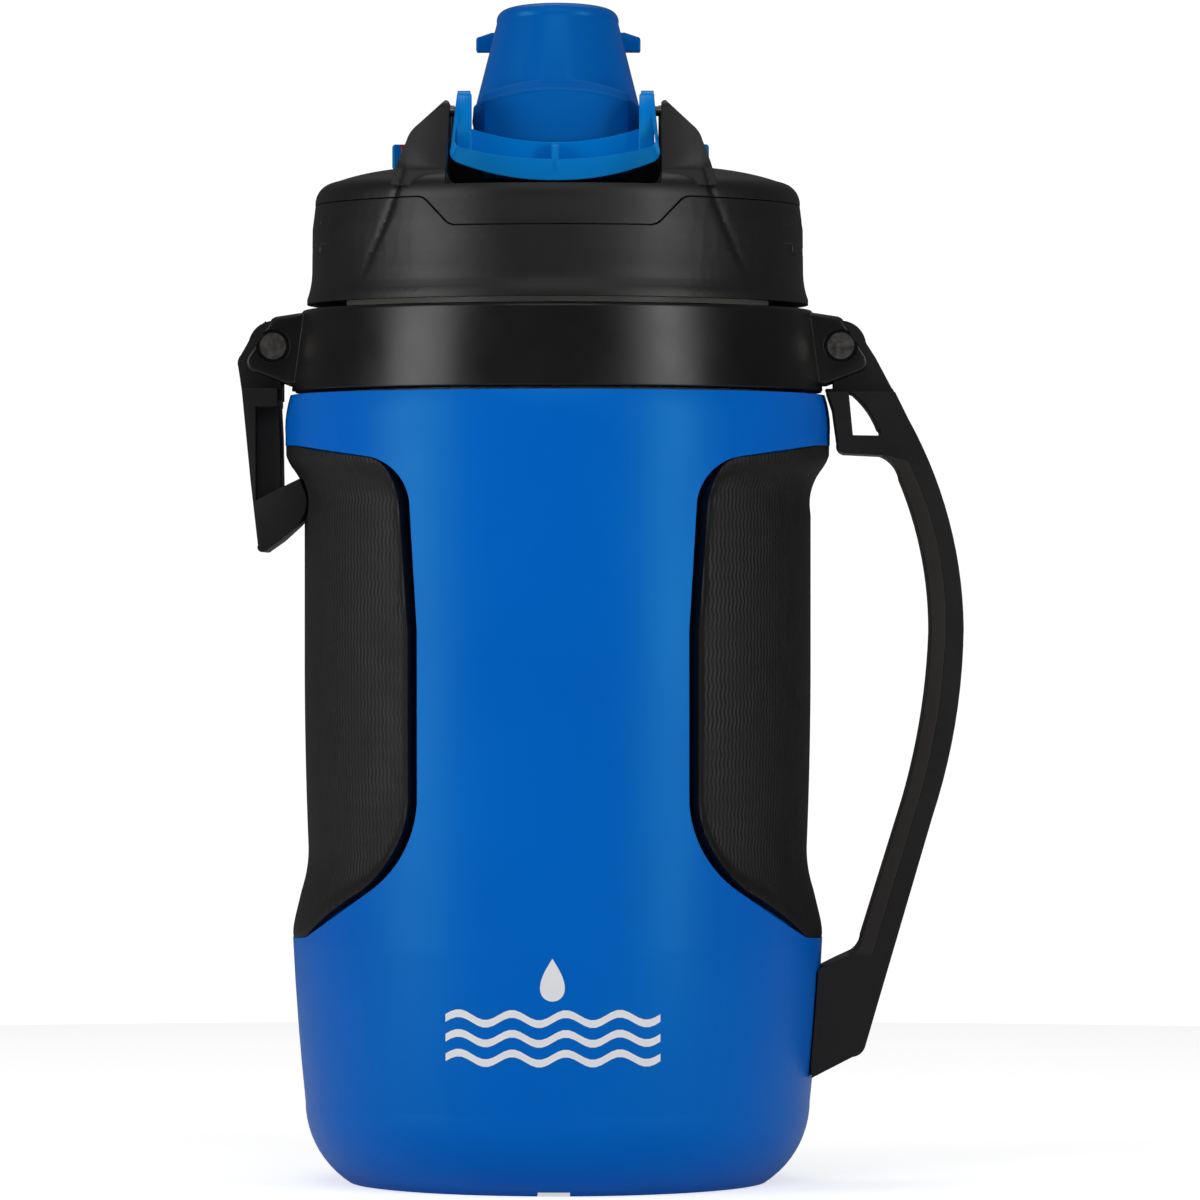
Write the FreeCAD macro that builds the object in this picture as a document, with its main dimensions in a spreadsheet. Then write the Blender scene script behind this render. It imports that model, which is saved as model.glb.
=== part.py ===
import FreeCAD, Part
import os

from FreeCAD import Placement, Rotation, Vector
from Sketcher import Constraint

# Insulated sports water jug. Millimetres, +Z up, front towards -Y, handle towards +X.
# The origin is the middle of the foot ring, on the surface the jug stands on.

DIMENSIONS = {
    # outer shell
    "foot_r": (50, "outer radius of the flat foot ring"),
    "foot_bore_r": (44, "radius of the recess inside the foot ring"),
    "foot_depth": (2, "depth of the recess inside the foot ring"),
    "heel_r": (60.5, "radius at the top of the rounded heel"),
    "heel_top": (19.3, "height of the top of the rounded heel"),
    "belly_r": (63.45, "radius where the belly straightens"),
    "belly_top": (57.7, "height where the belly straightens"),
    "chest_r": (65.3, "largest radius of the shell"),
    "chest_top": (178.7, "height of the largest radius"),
    "shell_top_r": (64.1, "radius of the shell's top edge"),
    "shell_top": (188.3, "height of the shell's top edge"),
    "shell_wall": (2, "thickness of the shell"),
    "shell_lip_r": (57.4, "radius of the opening in the shell's top"),
    "fill_r": (8, "radius of the foam filling hole"),
    "notch_half": (3.85, "half width of the notch in the foot ring"),
    "notch_height": (1, "height of the notch in the foot ring"),
    # side grips
    "waist_r": (60.7, "radius of the grip pads' surface at the waist"),
    "waist_small_r": (59.8, "smallest radius of the pads' surface, above their lower flare"),
    "waist_low": (81, "height of the smallest radius"),
    "waist_high": (160, "height where the upper flare starts"),
    "pad_thick": (1.5, "thickness of the grip pads at the waist"),
    "pad_edge_x": (31.7, "distance of the pads' front edge from the middle"),
    "pad_low": (58, "height of the pads' lower tip"),
    "pad_high": (176.5, "height of the pads' upper edge at the side"),
    "pad_gap": (0.15, "gap between a pad and its recess"),
    # inner vessel
    "cavity_r": (54, "inner radius of the vessel"),
    "cavity_floor": (9, "height of the vessel's floor, inside"),
    "vessel_wall": (1.6, "thickness of the vessel"),
    "shoulder_low": (178, "height where the vessel starts to narrow"),
    "mouth_r": (47, "inner radius of the neck"),
    "neck_r": (50.6, "outer radius of the neck"),
    "rim": (226, "height of the neck's rim"),
    "foam_gap": (0.1, "gap round the foam"),
    # screw thread
    "thread_lead": (9, "rise of the thread in one turn"),
    "thread_crest_r": (52.2, "radius over the neck's thread"),
    "sleeve_r": (52.7, "inner radius of the lid's threaded sleeve"),
    "sleeve_crest_r": (51.1, "radius inside the lid's thread"),
    "thread_low": (214, "height of the neck thread's lower end"),
    # collar
    "collar_low": (189.1, "height of the collar's lower edge"),
    "collar_high": (208.6, "height of the collar's upper edge"),
    "collar_low_r": (63.9, "radius of the collar's lower edge"),
    "collar_high_r": (60.8, "radius of the collar's upper edge"),
    "collar_bore_r": (51, "inner radius of the collar"),
    "sleeve_in_r": (53.5, "inner radius of the collar's skirt"),
    "slit_r": (57, "radius of the fine slit in the collar's skirt"),
    "slit": (0.1, "width of that slit"),
    "collar_roof": (3, "thickness of the collar over its skirt"),
    "lug_half": (12, "half width of a lug, along the pin"),
    "slot_half": (7.8, "half width of the slot between a lug's ears"),
    "slot_x": (58.9, "distance of the slot's bottom from the middle"),
    "pin_x": (67.7, "distance of the two pins from the middle"),
    "pin_z": (199.9, "height of the two pins"),
    "pin_r": (2.5, "radius of a pin"),
    "pin_head_r": (3.15, "radius of a pin's head"),
    "head_well_r": (4, "radius of the well round a pin's head"),
    "head_well": (1, "depth of the well round a pin's head"),
    "pin_fit": (0.06, "radial clearance of what turns on a pin"),
    # lid
    "lid_low": (210, "height of the lid's lower edge"),
    "lid_low_r": (60.1, "radius of the lid's lower edge"),
    "lid_r": (58.8, "radius of the lid's side"),
    "lid_seam": (233.5, "height of the seam between skirt and cover"),
    "lid_seam_r": (58.1, "radius at the seam"),
    "lid_dip": (226.6, "height of the seam's dip in front"),
    "lid_top": (242.5, "height of the lid's top"),
    "lid_wall": (2.2, "thickness of the lid"),
    "seam_gap": (0.25, "gap along the seam"),
    "bay_half": (25, "half width of the bay between the horns"),
    "bay_floor": (236.4, "height of the bay's floor"),
    "bay_back": (35, "distance of the bay's back wall from the middle"),
    "horn_top": (257.4, "height of the horns"),
    "plate_low": (228.05, "height of the inner plate's underside"),
    "plate_high": (230.2, "height of the inner plate's top"),
    "gasket_gap": (0.1, "gap above and below the gasket"),
    "vent_y": (36, "place of the vent valve along Y"),
    "vent_hole_r": (2.5, "radius of the hole for the vent valve"),
    "vent_fit": (0.15, "gap round the vent valve's stem"),
    # spout, cover, trigger and lock
    "spout_y": (-3, "place of the spout's axis along Y, at tilt_z"),
    "spout_foot_y": (-4.8, "place of the spout's upright foot along Y"),
    "tilt_z": (250, "height at which the spout's axis crosses spout_y"),
    "tilt_angle": (5.3, "backward tilt of spout and cover, in degrees"),
    "spout_r": (9.5, "outer radius of the spout"),
    "spout_bore_r": (7, "inner radius of the spout"),
    "hinge_y": (22.5, "place of the cover's hinge along Y"),
    "hinge_z": (246, "height of the cover's hinge"),
    "hinge_r": (1.6, "radius of the cover's hinge pin"),
    "barrel_r": (3.9, "radius of the cover's hinge barrel"),
    "barrel_half": (12.5, "half length of the cover's hinge barrel"),
    "apron_front": (-24.5, "front face of the cover's apron"),
    "trigger_y": (-25, "place of the trigger's pivot along Y"),
    "trigger_z": (255, "height of the trigger's pivot"),
    "trigger_pin_r": (1.2, "radius of the trigger's pins"),
    "trigger_pin_end": (27, "distance of the pins' outer ends from the middle"),
    "trigger_pin_long": (5.5, "length of the trigger's pins"),
    "trigger_half": (24.2, "half width of the trigger"),
    "arm_thick": (3.4, "thickness of the trigger's arms"),
    "spring_x": (14.2, "distance of the trigger's springs from the middle"),
    "spring_z": (241.6, "height of the trigger's springs"),
    "spring_front": (-18.6, "front end of the trigger's springs"),
    "spring_back": (-9, "back end of the trigger's springs, on their seats"),
    "bay_wall_y": (-15.6, "front of the wall across the bay"),
    "bay_wall_top": (244.4, "height of the wall across the bay"),
    "bar_y": (30.4, "middle of the lock bar along Y"),
    "bar_z": (247.2, "middle height of the lock bar"),
    "bar_deep": (5.4, "size of the lock bar along Y"),
    "bar_tall": (6.2, "size of the lock bar along Z"),
    "bar_left": (-39.6, "left end of the lock bar"),
    "bar_right": (36.3, "right end of the lock bar"),
    "slide_gap": (0.35, "gap round the lock bar"),
    # handle and hook
    "band_half": (12.5, "half width of the handle and the hook"),
    "knuckle_half": (7.4, "half width of the knuckles between the ears"),
    "knuckle_r": (6.2, "radius of the knuckles"),
    "body_gap": (0.4, "gap between the body and what rests beside it"),
}

doc = FreeCAD.newDocument("water_jug")
dim = doc.addObject("Spreadsheet::Sheet", "dim")
for row, (alias, (size, meaning)) in enumerate(DIMENSIONS.items(), start=1):
    dim.set(f"A{row}", meaning)
    dim.set(f"B{row}", str(size))
    dim.setAlias(f"B{row}", alias)
doc.recompute()

NORMAL_SIGN = {"XY": 1, "XZ": -1, "YZ": 1}
TURN_TO = {
    "X": Rotation(Vector(0, 1, 0), 90),
    "Y": Rotation(Vector(1, 0, 0), -90),
    "Z": Rotation(),
}
BEYOND = 300  # reaches past the whole jug
SPRING_PLACES = (("left", "-dim.spring_x"), ("right", "dim.spring_x"))


def number(expression):
    """The value of an expression over the sheet's cells."""
    return float(dim.evalExpression(str(expression)))


def tie_point(sketch, geometry, vertex, x, y):
    """Holds one point of a sketch at two expressions over the sheet."""
    for kind, place, other_axis in (("DistanceX", x, -2), ("DistanceY", y, -1)):
        if number(place) == 0:
            sketch.addConstraint(Constraint("PointOnObject", geometry, vertex, other_axis))
        else:
            index = sketch.addConstraint(Constraint(kind, -1, 1, geometry, vertex, number(place)))
            sketch.setExpression(f"Constraints[{index}]", str(place))


def draw(sketch, outline):
    """A closed outline. A step (x, y) is a straight line to that corner, and a step
    (mx, my, x, y) is an arc through (mx, my) to that corner."""
    points = [Vector(number(step[-2]), number(step[-1]), 0) for step in outline]
    starts = []
    ends = []
    for i, step in enumerate(outline):
        if len(step) == 4:
            middle = Vector(number(step[0]), number(step[1]), 0)
            edge = sketch.addGeometry(Part.Arc(points[i - 1], middle, points[i]))
            backwards = sketch.getPoint(edge, 1).distanceToPoint(points[i]) < 1e-6
        else:
            edge = sketch.addGeometry(Part.LineSegment(points[i - 1], points[i]))
            backwards = False
        starts.append((edge, 2 if backwards else 1))
        ends.append((edge, 1 if backwards else 2))
    for i, step in enumerate(outline):
        sketch.addConstraint(Constraint("Coincident", *ends[i - 1], *starts[i]))
        tie_point(sketch, *ends[i], step[-2], step[-1])
        if len(step) == 4:
            middle = Vector(number(step[0]), number(step[1]), 0)
            mark = sketch.addGeometry(Part.Point(middle), True)
            sketch.addConstraint(Constraint("PointOnObject", mark, 1, ends[i][0]))
            tie_point(sketch, mark, 1, step[0], step[1])


def sketched_body(label, plane, outline):
    """A body with one sketch on one of its own origin planes."""
    body = doc.addObject("PartDesign::Body", label)
    sketch = body.newObject("Sketcher::SketchObject", f"{label}_outline")
    planes = {feature.Role: feature for feature in body.Origin.OriginFeatures}
    sketch.AttachmentSupport = [(planes[f"{plane}_Plane"], "")]
    sketch.MapMode = "FlatFace"
    draw(sketch, outline)
    return body, sketch


def turned(label, outline):
    """An outline of (radius, height) turned once round the Z axis."""
    body, sketch = sketched_body(label, "XZ", outline)
    turn = body.newObject("PartDesign::Revolution", f"{label}_turn")
    turn.Profile = sketch
    turn.ReferenceAxis = (sketch, ["V_Axis"])
    turn.Angle = 360
    return body


def prism(label, plane, outline, near, far):
    """An outline drawn out along the axis square to its plane, from near to far."""
    body, sketch = sketched_body(label, plane, outline)
    middle = f"{NORMAL_SIGN[plane]} * ({near} + {far}) / 2"
    sketch.setExpression("AttachmentOffset.Base.z", middle)
    pad = body.newObject("PartDesign::Pad", f"{label}_pad")
    pad.Profile = sketch
    pad.SideType = "Symmetric"
    pad.setExpression("Length", f"{far} - ({near})")
    return body


def place_at(piece, x, y, z):
    """Ties a primitive's corner or centre to three expressions."""
    piece.setExpression("Placement.Base.x", str(x))
    piece.setExpression("Placement.Base.y", str(y))
    piece.setExpression("Placement.Base.z", str(z))


def rod(label, radius, axis, x, y, z, length):
    """A round bar that starts at (x, y, z) and runs along +axis."""
    piece = doc.addObject("Part::Cylinder", label)
    piece.Placement = Placement(Vector(), TURN_TO[axis])
    piece.setExpression("Radius", str(radius))
    piece.setExpression("Height", str(length))
    place_at(piece, x, y, z)
    return piece


def block(label, x_range, y_range, z_range):
    """A box between two places on each axis."""
    piece = doc.addObject("Part::Box", label)
    for name, (low, high) in zip(("Length", "Width", "Height"), (x_range, y_range, z_range)):
        piece.setExpression(name, f"({high}) - ({low})")
    place_at(piece, x_range[0], y_range[0], z_range[0])
    return piece


def joined(label, *pieces):
    union = doc.addObject("Part::MultiFuse", label)
    union.Shapes = pieces
    union.Refine = True
    return union


def shared(label, *pieces):
    common = doc.addObject("Part::MultiCommon", label)
    common.Shapes = pieces
    return common


def cut(label, base, *tools):
    difference = doc.addObject("Part::Cut", label)
    difference.Base = base
    difference.Tool = tools[0] if len(tools) == 1 else joined(f"{label}_cuts", *tools)
    difference.Refine = True
    return difference


def rounded(label, base, radius, wanted):
    """Rounds the edges of base for which wanted(edge) is true."""
    doc.recompute()
    chosen = [i for i, edge in enumerate(base.Shape.Edges, start=1) if wanted(edge)]
    fillet = doc.addObject("Part::Fillet", label)
    fillet.Base = base
    fillet.Edges = [(i, radius, radius) for i in chosen]
    return fillet


def tilted(piece):
    """Leans a piece made round Z, with tilt_z as its height 0, back onto the spout's axis."""
    piece.Placement = Placement(Vector(), Rotation(Vector(1, 0, 0), -number("dim.tilt_angle")))
    place_at(piece, 0, "dim.spout_y", "dim.tilt_z")
    return piece


# ---------------------------------------------------------------- outer shell and vessel

def shell_form(label, inset):
    """The jug's outer form, or the same form with its wall inset."""
    return turned(label, [
        ("0", f"{inset}"),
        (f"dim.foot_r - {inset} / 2", f"{inset}"),
        (f"56.4 - {inset}", f"6.2 + {inset} / 2", f"dim.heel_r - {inset}", "dim.heel_top"),
        (f"62.1 - {inset}", "36.6", f"dim.belly_r - {inset}", "dim.belly_top"),
        (f"64.6 - {inset}", "110", f"dim.chest_r - {inset}", "dim.chest_top"),
        (f"65.1 - {inset}", "184", f"dim.shell_top_r - {inset}", "dim.shell_top"),
        ("0", "dim.shell_top"),
    ])


def pad_zone(label, grow):
    """Both side areas the grips fill, as seen from the front, right through the jug."""
    right = prism(f"{label}_right", "XZ", [
        ("80", f"dim.pad_high + 1 + {grow}"),
        ("62", f"dim.pad_high - 0.5 + {grow}"),
        ("43", f"172.8 + {grow}"),
        (f"36.6 - {grow}", "169", f"33.4 - {grow}", "160.5"),
        (f"dim.pad_edge_x - {grow}", "132"),
        (f"dim.pad_edge_x - {grow}", "92"),
        (f"35.2 - {grow}", "80", f"43 - {grow}", "71.2"),
        (f"59.3 - {grow}", "dim.pad_low + 1.3"),
        ("66", f"dim.pad_low - {grow}"),
        ("80", f"dim.pad_low - {grow}"),
    ], -BEYOND, BEYOND)
    left = doc.addObject("Part::Mirroring", f"{label}_left")
    left.Source = right
    left.Normal = Vector(1, 0, 0)
    return joined(label, right, left)


def waist_ring(label, depth):
    """All that lies outside the waist, down to depth below the pads' surface."""
    return turned(label, [
        ("90", "dim.pad_high + 10"),
        (f"dim.chest_r + 1 - {depth}", "dim.pad_high + 10"),
        (f"dim.chest_r - {depth}", "dim.pad_high"),
        (f"dim.chest_r - 0.4 - {depth}", "dim.pad_high - 3", f"63.3 - {depth}", "170.5"),
        (f"61.3 - {depth}", "167", f"dim.waist_r - {depth}", "dim.waist_high"),
        (f"dim.waist_r - {depth}", "122"),
        (f"60.5 - {depth}", "104", f"dim.waist_small_r - {depth}", "dim.waist_low"),
        (f"60.1 - {depth}", "75.2", f"61.3 - {depth}", "70.2"),
        (f"62.7 - {depth}", "64.4"),
        (f"dim.belly_r - 0.15 - {depth}", "61.3", f"dim.belly_r - {depth}", "dim.pad_low"),
        (f"dim.belly_r + 0.2 - {depth}", "dim.pad_low - 8"),
        ("90", "dim.pad_low - 8"),
    ])


def outer_shell():
    recess = shared("recess", pad_zone("recess_zone", "0"), waist_ring("recess_ring", "dim.pad_thick"))
    behind = shared("behind_recess", pad_zone("behind_zone", "dim.shell_wall"),
                    waist_ring("behind_ring", "(dim.pad_thick + dim.shell_wall)"))
    hollow = cut("shell_hollow", shell_form("shell_inside", "dim.shell_wall"), behind)
    lip = rod("shell_lip", "dim.shell_lip_r", "Z", 0, 0, "dim.shell_top - 5", 10)
    hollow_top = block("shell_roof", (-BEYOND, BEYOND), (-BEYOND, BEYOND),
                       ("dim.shell_top - dim.shell_wall", "dim.shell_top + 5"))
    hollow_low = cut("shell_hollow_low", hollow, hollow_top)
    foot = rod("foot_recess", "dim.foot_bore_r", "Z", 0, 0, "-1", "1 + dim.foot_depth")
    fill = rod("fill_hole", "dim.fill_r", "Z", 0, 0, "-1", 10)
    notch = block("foot_notch", ("-dim.notch_half", "dim.notch_half"),
                  ("-dim.foot_r - 5", "2 - dim.foot_bore_r"), (-1, "dim.notch_height"))
    floor = rod("shell_floor", "dim.foot_bore_r + 1.5", "Z", 0, 0, "dim.foot_depth", "dim.shell_wall")
    skin = cut("shell_skin", shell_form("shell_outside", "0"), recess, hollow_low, lip)
    return cut("outer_shell", joined("shell_with_floor", skin, floor), foot, fill, notch)


def base_plate():
    return turned("base_plate", [
        ("0", "0.8"),
        ("dim.foot_bore_r - 0.4", "0.8"),
        ("dim.foot_bore_r - 0.4", "dim.foot_depth"),
        ("dim.fill_r - 0.3", "dim.foot_depth"),
        ("dim.fill_r - 0.3", "dim.foot_depth + dim.shell_wall"),
        ("0", "dim.foot_depth + dim.shell_wall"),
    ])


def vessel_form(label, grow):
    """The vessel's outside below its neck, or the same form a little larger."""
    return turned(label, [
        ("0", f"dim.cavity_floor - dim.vessel_wall - {grow}"),
        (f"dim.cavity_r - 9 + {grow}", f"dim.cavity_floor - dim.vessel_wall - {grow}"),
        (f"dim.cavity_r - 0.9 + {grow}", f"dim.cavity_floor + 0.9 - {grow}",
         f"dim.cavity_r + dim.vessel_wall + {grow}", "dim.cavity_floor + 9"),
        (f"dim.cavity_r + dim.vessel_wall + {grow}", "dim.shoulder_low"),
        (f"dim.neck_r + {grow}", "dim.shell_top"),
        (f"dim.neck_r + {grow}", "dim.rim"),
        ("0", "dim.rim"),
    ])


def vessel_inside():
    return turned("vessel_inside", [
        ("0", "dim.cavity_floor"),
        ("dim.cavity_r - 8", "dim.cavity_floor"),
        ("dim.cavity_r - 2", "dim.cavity_floor + 2.5", "dim.cavity_r", "dim.cavity_floor + 9"),
        ("dim.cavity_r", "dim.shoulder_low - 1"),
        ("dim.mouth_r", "dim.shell_top - 1"),
        ("dim.mouth_r", "dim.rim + 5"),
        ("0", "dim.rim + 5"),
    ])


def thread_tooth(label, foot_r, crest_r, foot_half, crest_half, low, turns, angle):
    """One start of a thread: a blunt tooth swept up a helix, from the given angle."""
    helix = doc.addObject("Part::Helix", f"{label}_helix")
    helix.setExpression("Pitch", "dim.thread_lead")
    helix.setExpression("Height", f"dim.thread_lead * {turns}")
    helix.setExpression("Radius", foot_r)
    section = doc.addObject("Sketcher::SketchObject", f"{label}_section")
    draw(section, [
        (foot_r, f"-{foot_half}"),
        (crest_r, f"-{crest_half}"),
        (crest_r, crest_half),
        (foot_r, foot_half),
    ])
    turn = Rotation(Vector(0, 0, 1), angle)
    helix.Placement = Placement(Vector(), turn)
    section.Placement = Placement(Vector(), turn.multiply(Rotation(Vector(1, 0, 0), 90)))
    helix.setExpression("Placement.Base.z", low)
    section.setExpression("Placement.Base.z", low)
    doc.recompute()
    tooth = doc.addObject("Part::Sweep", label)
    tooth.Sections = [section]
    tooth.Spine = (helix, [f"Edge{i + 1}" for i in range(len(helix.Shape.Edges))])
    tooth.Solid = True
    tooth.Frenet = True
    return tooth


def inner_vessel():
    teeth = [
        thread_tooth(f"neck_tooth_{start}", "dim.neck_r - 0.4", "dim.thread_crest_r", 1.3, 0.7,
                     "dim.thread_low", 0.5, start * 180 + 20)
        for start in range(2)
    ]
    wall = cut("vessel_wall", vessel_form("vessel_outside", "0"), vessel_inside())
    return joined("inner_vessel", wall, *teeth)


def foam_insulation():
    behind = shared("foam_recess", pad_zone("foam_zone", "(dim.shell_wall + dim.foam_gap)"),
                    waist_ring("foam_ring", "(dim.pad_thick + dim.shell_wall + dim.foam_gap)"))
    above = block("foam_top", (-BEYOND, BEYOND), (-BEYOND, BEYOND),
                  ("dim.shell_top - dim.shell_wall - dim.foam_gap", "dim.shell_top + 5"))
    below = rod("foam_floor", "dim.foot_bore_r + 1.6", "Z", 0, 0, 0,
                "dim.foot_depth + dim.shell_wall + dim.foam_gap")
    return cut("foam_insulation", shell_form("foam_outside", "(dim.shell_wall + dim.foam_gap)"),
               behind, above, below, vessel_form("foam_inside", "dim.foam_gap"))


def side_grips():
    """The two soft pads, which fill the waist's recesses between the middle and each side."""
    waist = cut("pad_ring", waist_ring("pad_under", "(dim.pad_thick - 0.05)"),
                waist_ring("pad_over", "0"))
    pads = shared("pads", waist, pad_zone("pad_area", "-dim.pad_gap"))
    right_half = block("right_half", (0, BEYOND), (-BEYOND, BEYOND), (0, BEYOND))
    left_half = block("left_half", (-BEYOND, 0), (-BEYOND, BEYOND), (0, BEYOND))
    return [shared("right_grip", pads, right_half), shared("left_grip", pads, left_half)]


# ---------------------------------------------------------------- collar and its pins

def on_left(piece, label):
    """The mirror image of a piece on the jug's other side."""
    mirror = doc.addObject("Part::Mirroring", label)
    mirror.Source = piece
    mirror.Normal = Vector(1, 0, 0)
    return mirror


def neck_collar():
    ring = turned("collar_ring", [
        ("dim.collar_bore_r", "dim.collar_high - dim.collar_roof"),
        ("dim.sleeve_in_r", "dim.collar_high - dim.collar_roof"),
        ("dim.sleeve_in_r", "dim.collar_low"),
        ("dim.slit_r", "dim.collar_low"),
        ("dim.slit_r", "dim.collar_high - dim.collar_roof"),
        ("dim.slit_r + dim.slit", "dim.collar_high - dim.collar_roof"),
        ("dim.slit_r + dim.slit", "dim.collar_low"),
        ("dim.collar_low_r", "dim.collar_low"),
        ("dim.collar_high_r + 0.6", "dim.collar_high - 1"),
        ("dim.collar_high_r + 0.4", "dim.collar_high - 0.2",
         "dim.collar_high_r - 0.4", "dim.collar_high"),
        ("dim.collar_bore_r", "dim.collar_high"),
    ])
    lug = prism("lug", "XZ", [
        ("58", "dim.collar_high"),
        ("67.6", "206.9"),
        ("73.9", "197.3"),
        ("74.6", "196", "72.9", "193.9"),
        ("64.6", "190.8"),
        ("58", "190.8"),
    ], "-dim.lug_half", "dim.lug_half")
    slot = block("lug_slot", ("dim.slot_x", 90), ("-dim.slot_half", "dim.slot_half"), (180, 215))
    bore = rod("lug_bore", "dim.pin_r + 0.02", "Y", "dim.pin_x", -20, "dim.pin_z", 40)
    wells = [
        rod(f"well_{side}", "dim.head_well_r", "Y", "dim.pin_x", start, "dim.pin_z", 5)
        for side, start in (("front", "dim.head_well - dim.lug_half - 5"),
                            ("back", "dim.lug_half - dim.head_well"))
    ]
    right_cuts = joined("lug_cuts", slot, bore, *wells)
    left_cuts = on_left(right_cuts, "lug_cuts_left")
    blank = joined("collar_blank", ring, lug, on_left(lug, "lug_left"))
    mouth = rod("collar_mouth", "dim.collar_bore_r", "Z", 0, 0, 150, 100)
    return cut("neck_collar", blank, right_cuts, left_cuts, mouth)


def rivet(label, x):
    """A steel pin with a low head in the well at each end."""
    shaft = rod(f"{label}_shaft", "dim.pin_r", "Y", x, "-dim.lug_half", "dim.pin_z", "2 * dim.lug_half")
    heads = [
        rod(f"{label}_head_{side}", "dim.pin_head_r", "Y", x, start, "dim.pin_z", "dim.head_well + 0.3")
        for side, start in (("front", "-dim.lug_half - 0.3"), ("back", "dim.lug_half - dim.head_well"))
    ]
    return joined(label, shaft, *heads)


# ---------------------------------------------------------------- handle and hook

def knuckle(label, x):
    return rod(label, "dim.knuckle_r", "Y", x, "-dim.knuckle_half", "dim.pin_z", "2 * dim.knuckle_half")


def handle():
    """The carrying handle: a stiff frame and the soft grip moulded along its inner side."""
    band = prism("handle_band", "XZ", [
        ("80.2", "189.8"),
        ("83.8", "182.5"),
        ("93.2", "159.5", "97", "132.5"),
        ("95.1", "110.5", "89.5", "87.5"),
        ("73.5", "32.8"),
        ("72.4", "31.2", "70.5", "30.4"),
        ("60.8", "25.4"),
        ("58", "48.9"),
        ("66.8", "53.3"),
        ("70.3", "54.9"),
        ("71.8", "56.3", "72.7", "58.9"),
        ("81.6", "87.5"),
        ("87.1", "110.5", "89.2", "131.5"),
        ("87.4", "150.4", "82", "168.1"),
        ("80.3", "171.8", "77.4", "173.8"),
        ("69.3", "174.2"),
        ("67.5", "174.9", "67", "176.8"),
        ("65.9", "184.8"),
        ("64.2", "189.8"),
    ], "-dim.band_half", "dim.band_half")
    neck = prism("handle_neck", "XZ", [
        ("66", "188.2"),
        ("80.9", "188.2"),
        ("76.1", "197.2"),
        ("72.4", "203"),
        ("69.8", "205.2"),
        ("66", "200"),
    ], "-dim.knuckle_half", "dim.knuckle_half")
    window = prism("handle_window", "XZ", [
        ("69.6", "189"),
        ("70.6", "178.6"),
        ("76.3", "178.5"),
        ("77.1", "178.9", "76.7", "180"),
        ("74.9", "183.7", "70.8", "188.5"),
    ], -BEYOND, BEYOND)
    bore = rod("handle_bore", "dim.pin_r + dim.pin_fit", "Y", "dim.pin_x", -20, "dim.pin_z", 40)
    grip_zone = prism("grip_zone", "XZ", [
        ("79.5", "173.6"),
        ("83.7", "172.4"),
        ("90.7", "152.5", "92.6", "131.5"),
        ("90.5", "110.5", "85", "87.5"),
        ("75.1", "54.7"),
        ("66", "54.7"),
        ("66", "173.6"),
    ], "-dim.band_half", "dim.band_half")
    clear = shell_form("handle_clear", "(-dim.body_gap)")
    ear_room = joined("handle_ear_room", *[
        block(f"ear_room_{side}", (50, 90), span, ("dim.pin_z - 11", 215))
        for side, span in (("front", (-20, "-dim.knuckle_half")), ("back", ("dim.knuckle_half", 20)))
    ])
    blank = joined("handle_blank", band, neck, knuckle("handle_knuckle", "dim.pin_x"))
    whole = cut("handle_whole", blank, window, bore, clear, ear_room)
    grip = shared("handle_grip", whole, grip_zone)
    frame = cut("handle_frame", whole, grip_zone)
    return [frame, grip]


def fence_hook():
    """The hook that hangs the jug on a fence: a flat arm whose barb points up at the body."""
    arm = prism("hook_arm", "XZ", [
        ("-75.2", "189.8"),
        ("-73.1", "168.1"),
        ("-71.3", "152.4"),
        ("-70.9", "150.9", "-69.4", "151.1"),
        ("-66.1", "153.4"),
        ("-62.8", "156.4"),
        ("-60.4", "159.4", "-59.4", "163.4"),
        ("-61.3", "168.3"),
        ("-66", "166"),
        ("-66.2", "178"),
        ("-66.6", "186"),
        ("-66.6", "189.8"),
    ], "-dim.band_half", "dim.band_half")
    neck = prism("hook_neck", "XZ", [
        ("-66", "187"),
        ("-66", "200"),
        ("-69.8", "206"),
        ("-72.8", "203"),
        ("-75.6", "198"),
        ("-76.4", "196.4", "-76.3", "195"),
        ("-75.1", "187"),
    ], "-dim.knuckle_half", "dim.knuckle_half")
    flange_cut = [
        prism(f"hook_cut_{side}", "XZ", [
            ("-71.8", "185.5"),
            ("-71.8", "163"),
            ("-60.9", "168.7"),
            ("-40", "168.7"),
            ("-40", "185.5"),
        ], near, far)
        for side, near, far in (("front", "-20", "-8.5"), ("back", "8.5", "20"))
    ]
    bore = rod("hook_bore", "dim.pin_r + dim.pin_fit", "Y", "-dim.pin_x", -20, "dim.pin_z", 40)
    body_clear = turned("hook_clear", [
        ("0", "100"),
        ("dim.waist_r + dim.body_gap", "100"),
        ("dim.waist_r + dim.body_gap", "dim.waist_high"),
        ("61.3 + dim.body_gap", "167", "63.3 + dim.body_gap", "170.5"),
        ("dim.chest_r - 0.4 + dim.body_gap", "dim.pad_high - 3",
         "dim.chest_r + dim.body_gap", "dim.pad_high"),
        ("dim.chest_r + dim.body_gap", "dim.collar_low"),
        ("0", "dim.collar_low"),
    ])
    blank = joined("hook_blank", arm, neck, knuckle("hook_knuckle", "-dim.pin_x"))
    return cut("fence_hook", blank, bore, body_clear, *flange_cut)


# ---------------------------------------------------------------- lid

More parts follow.
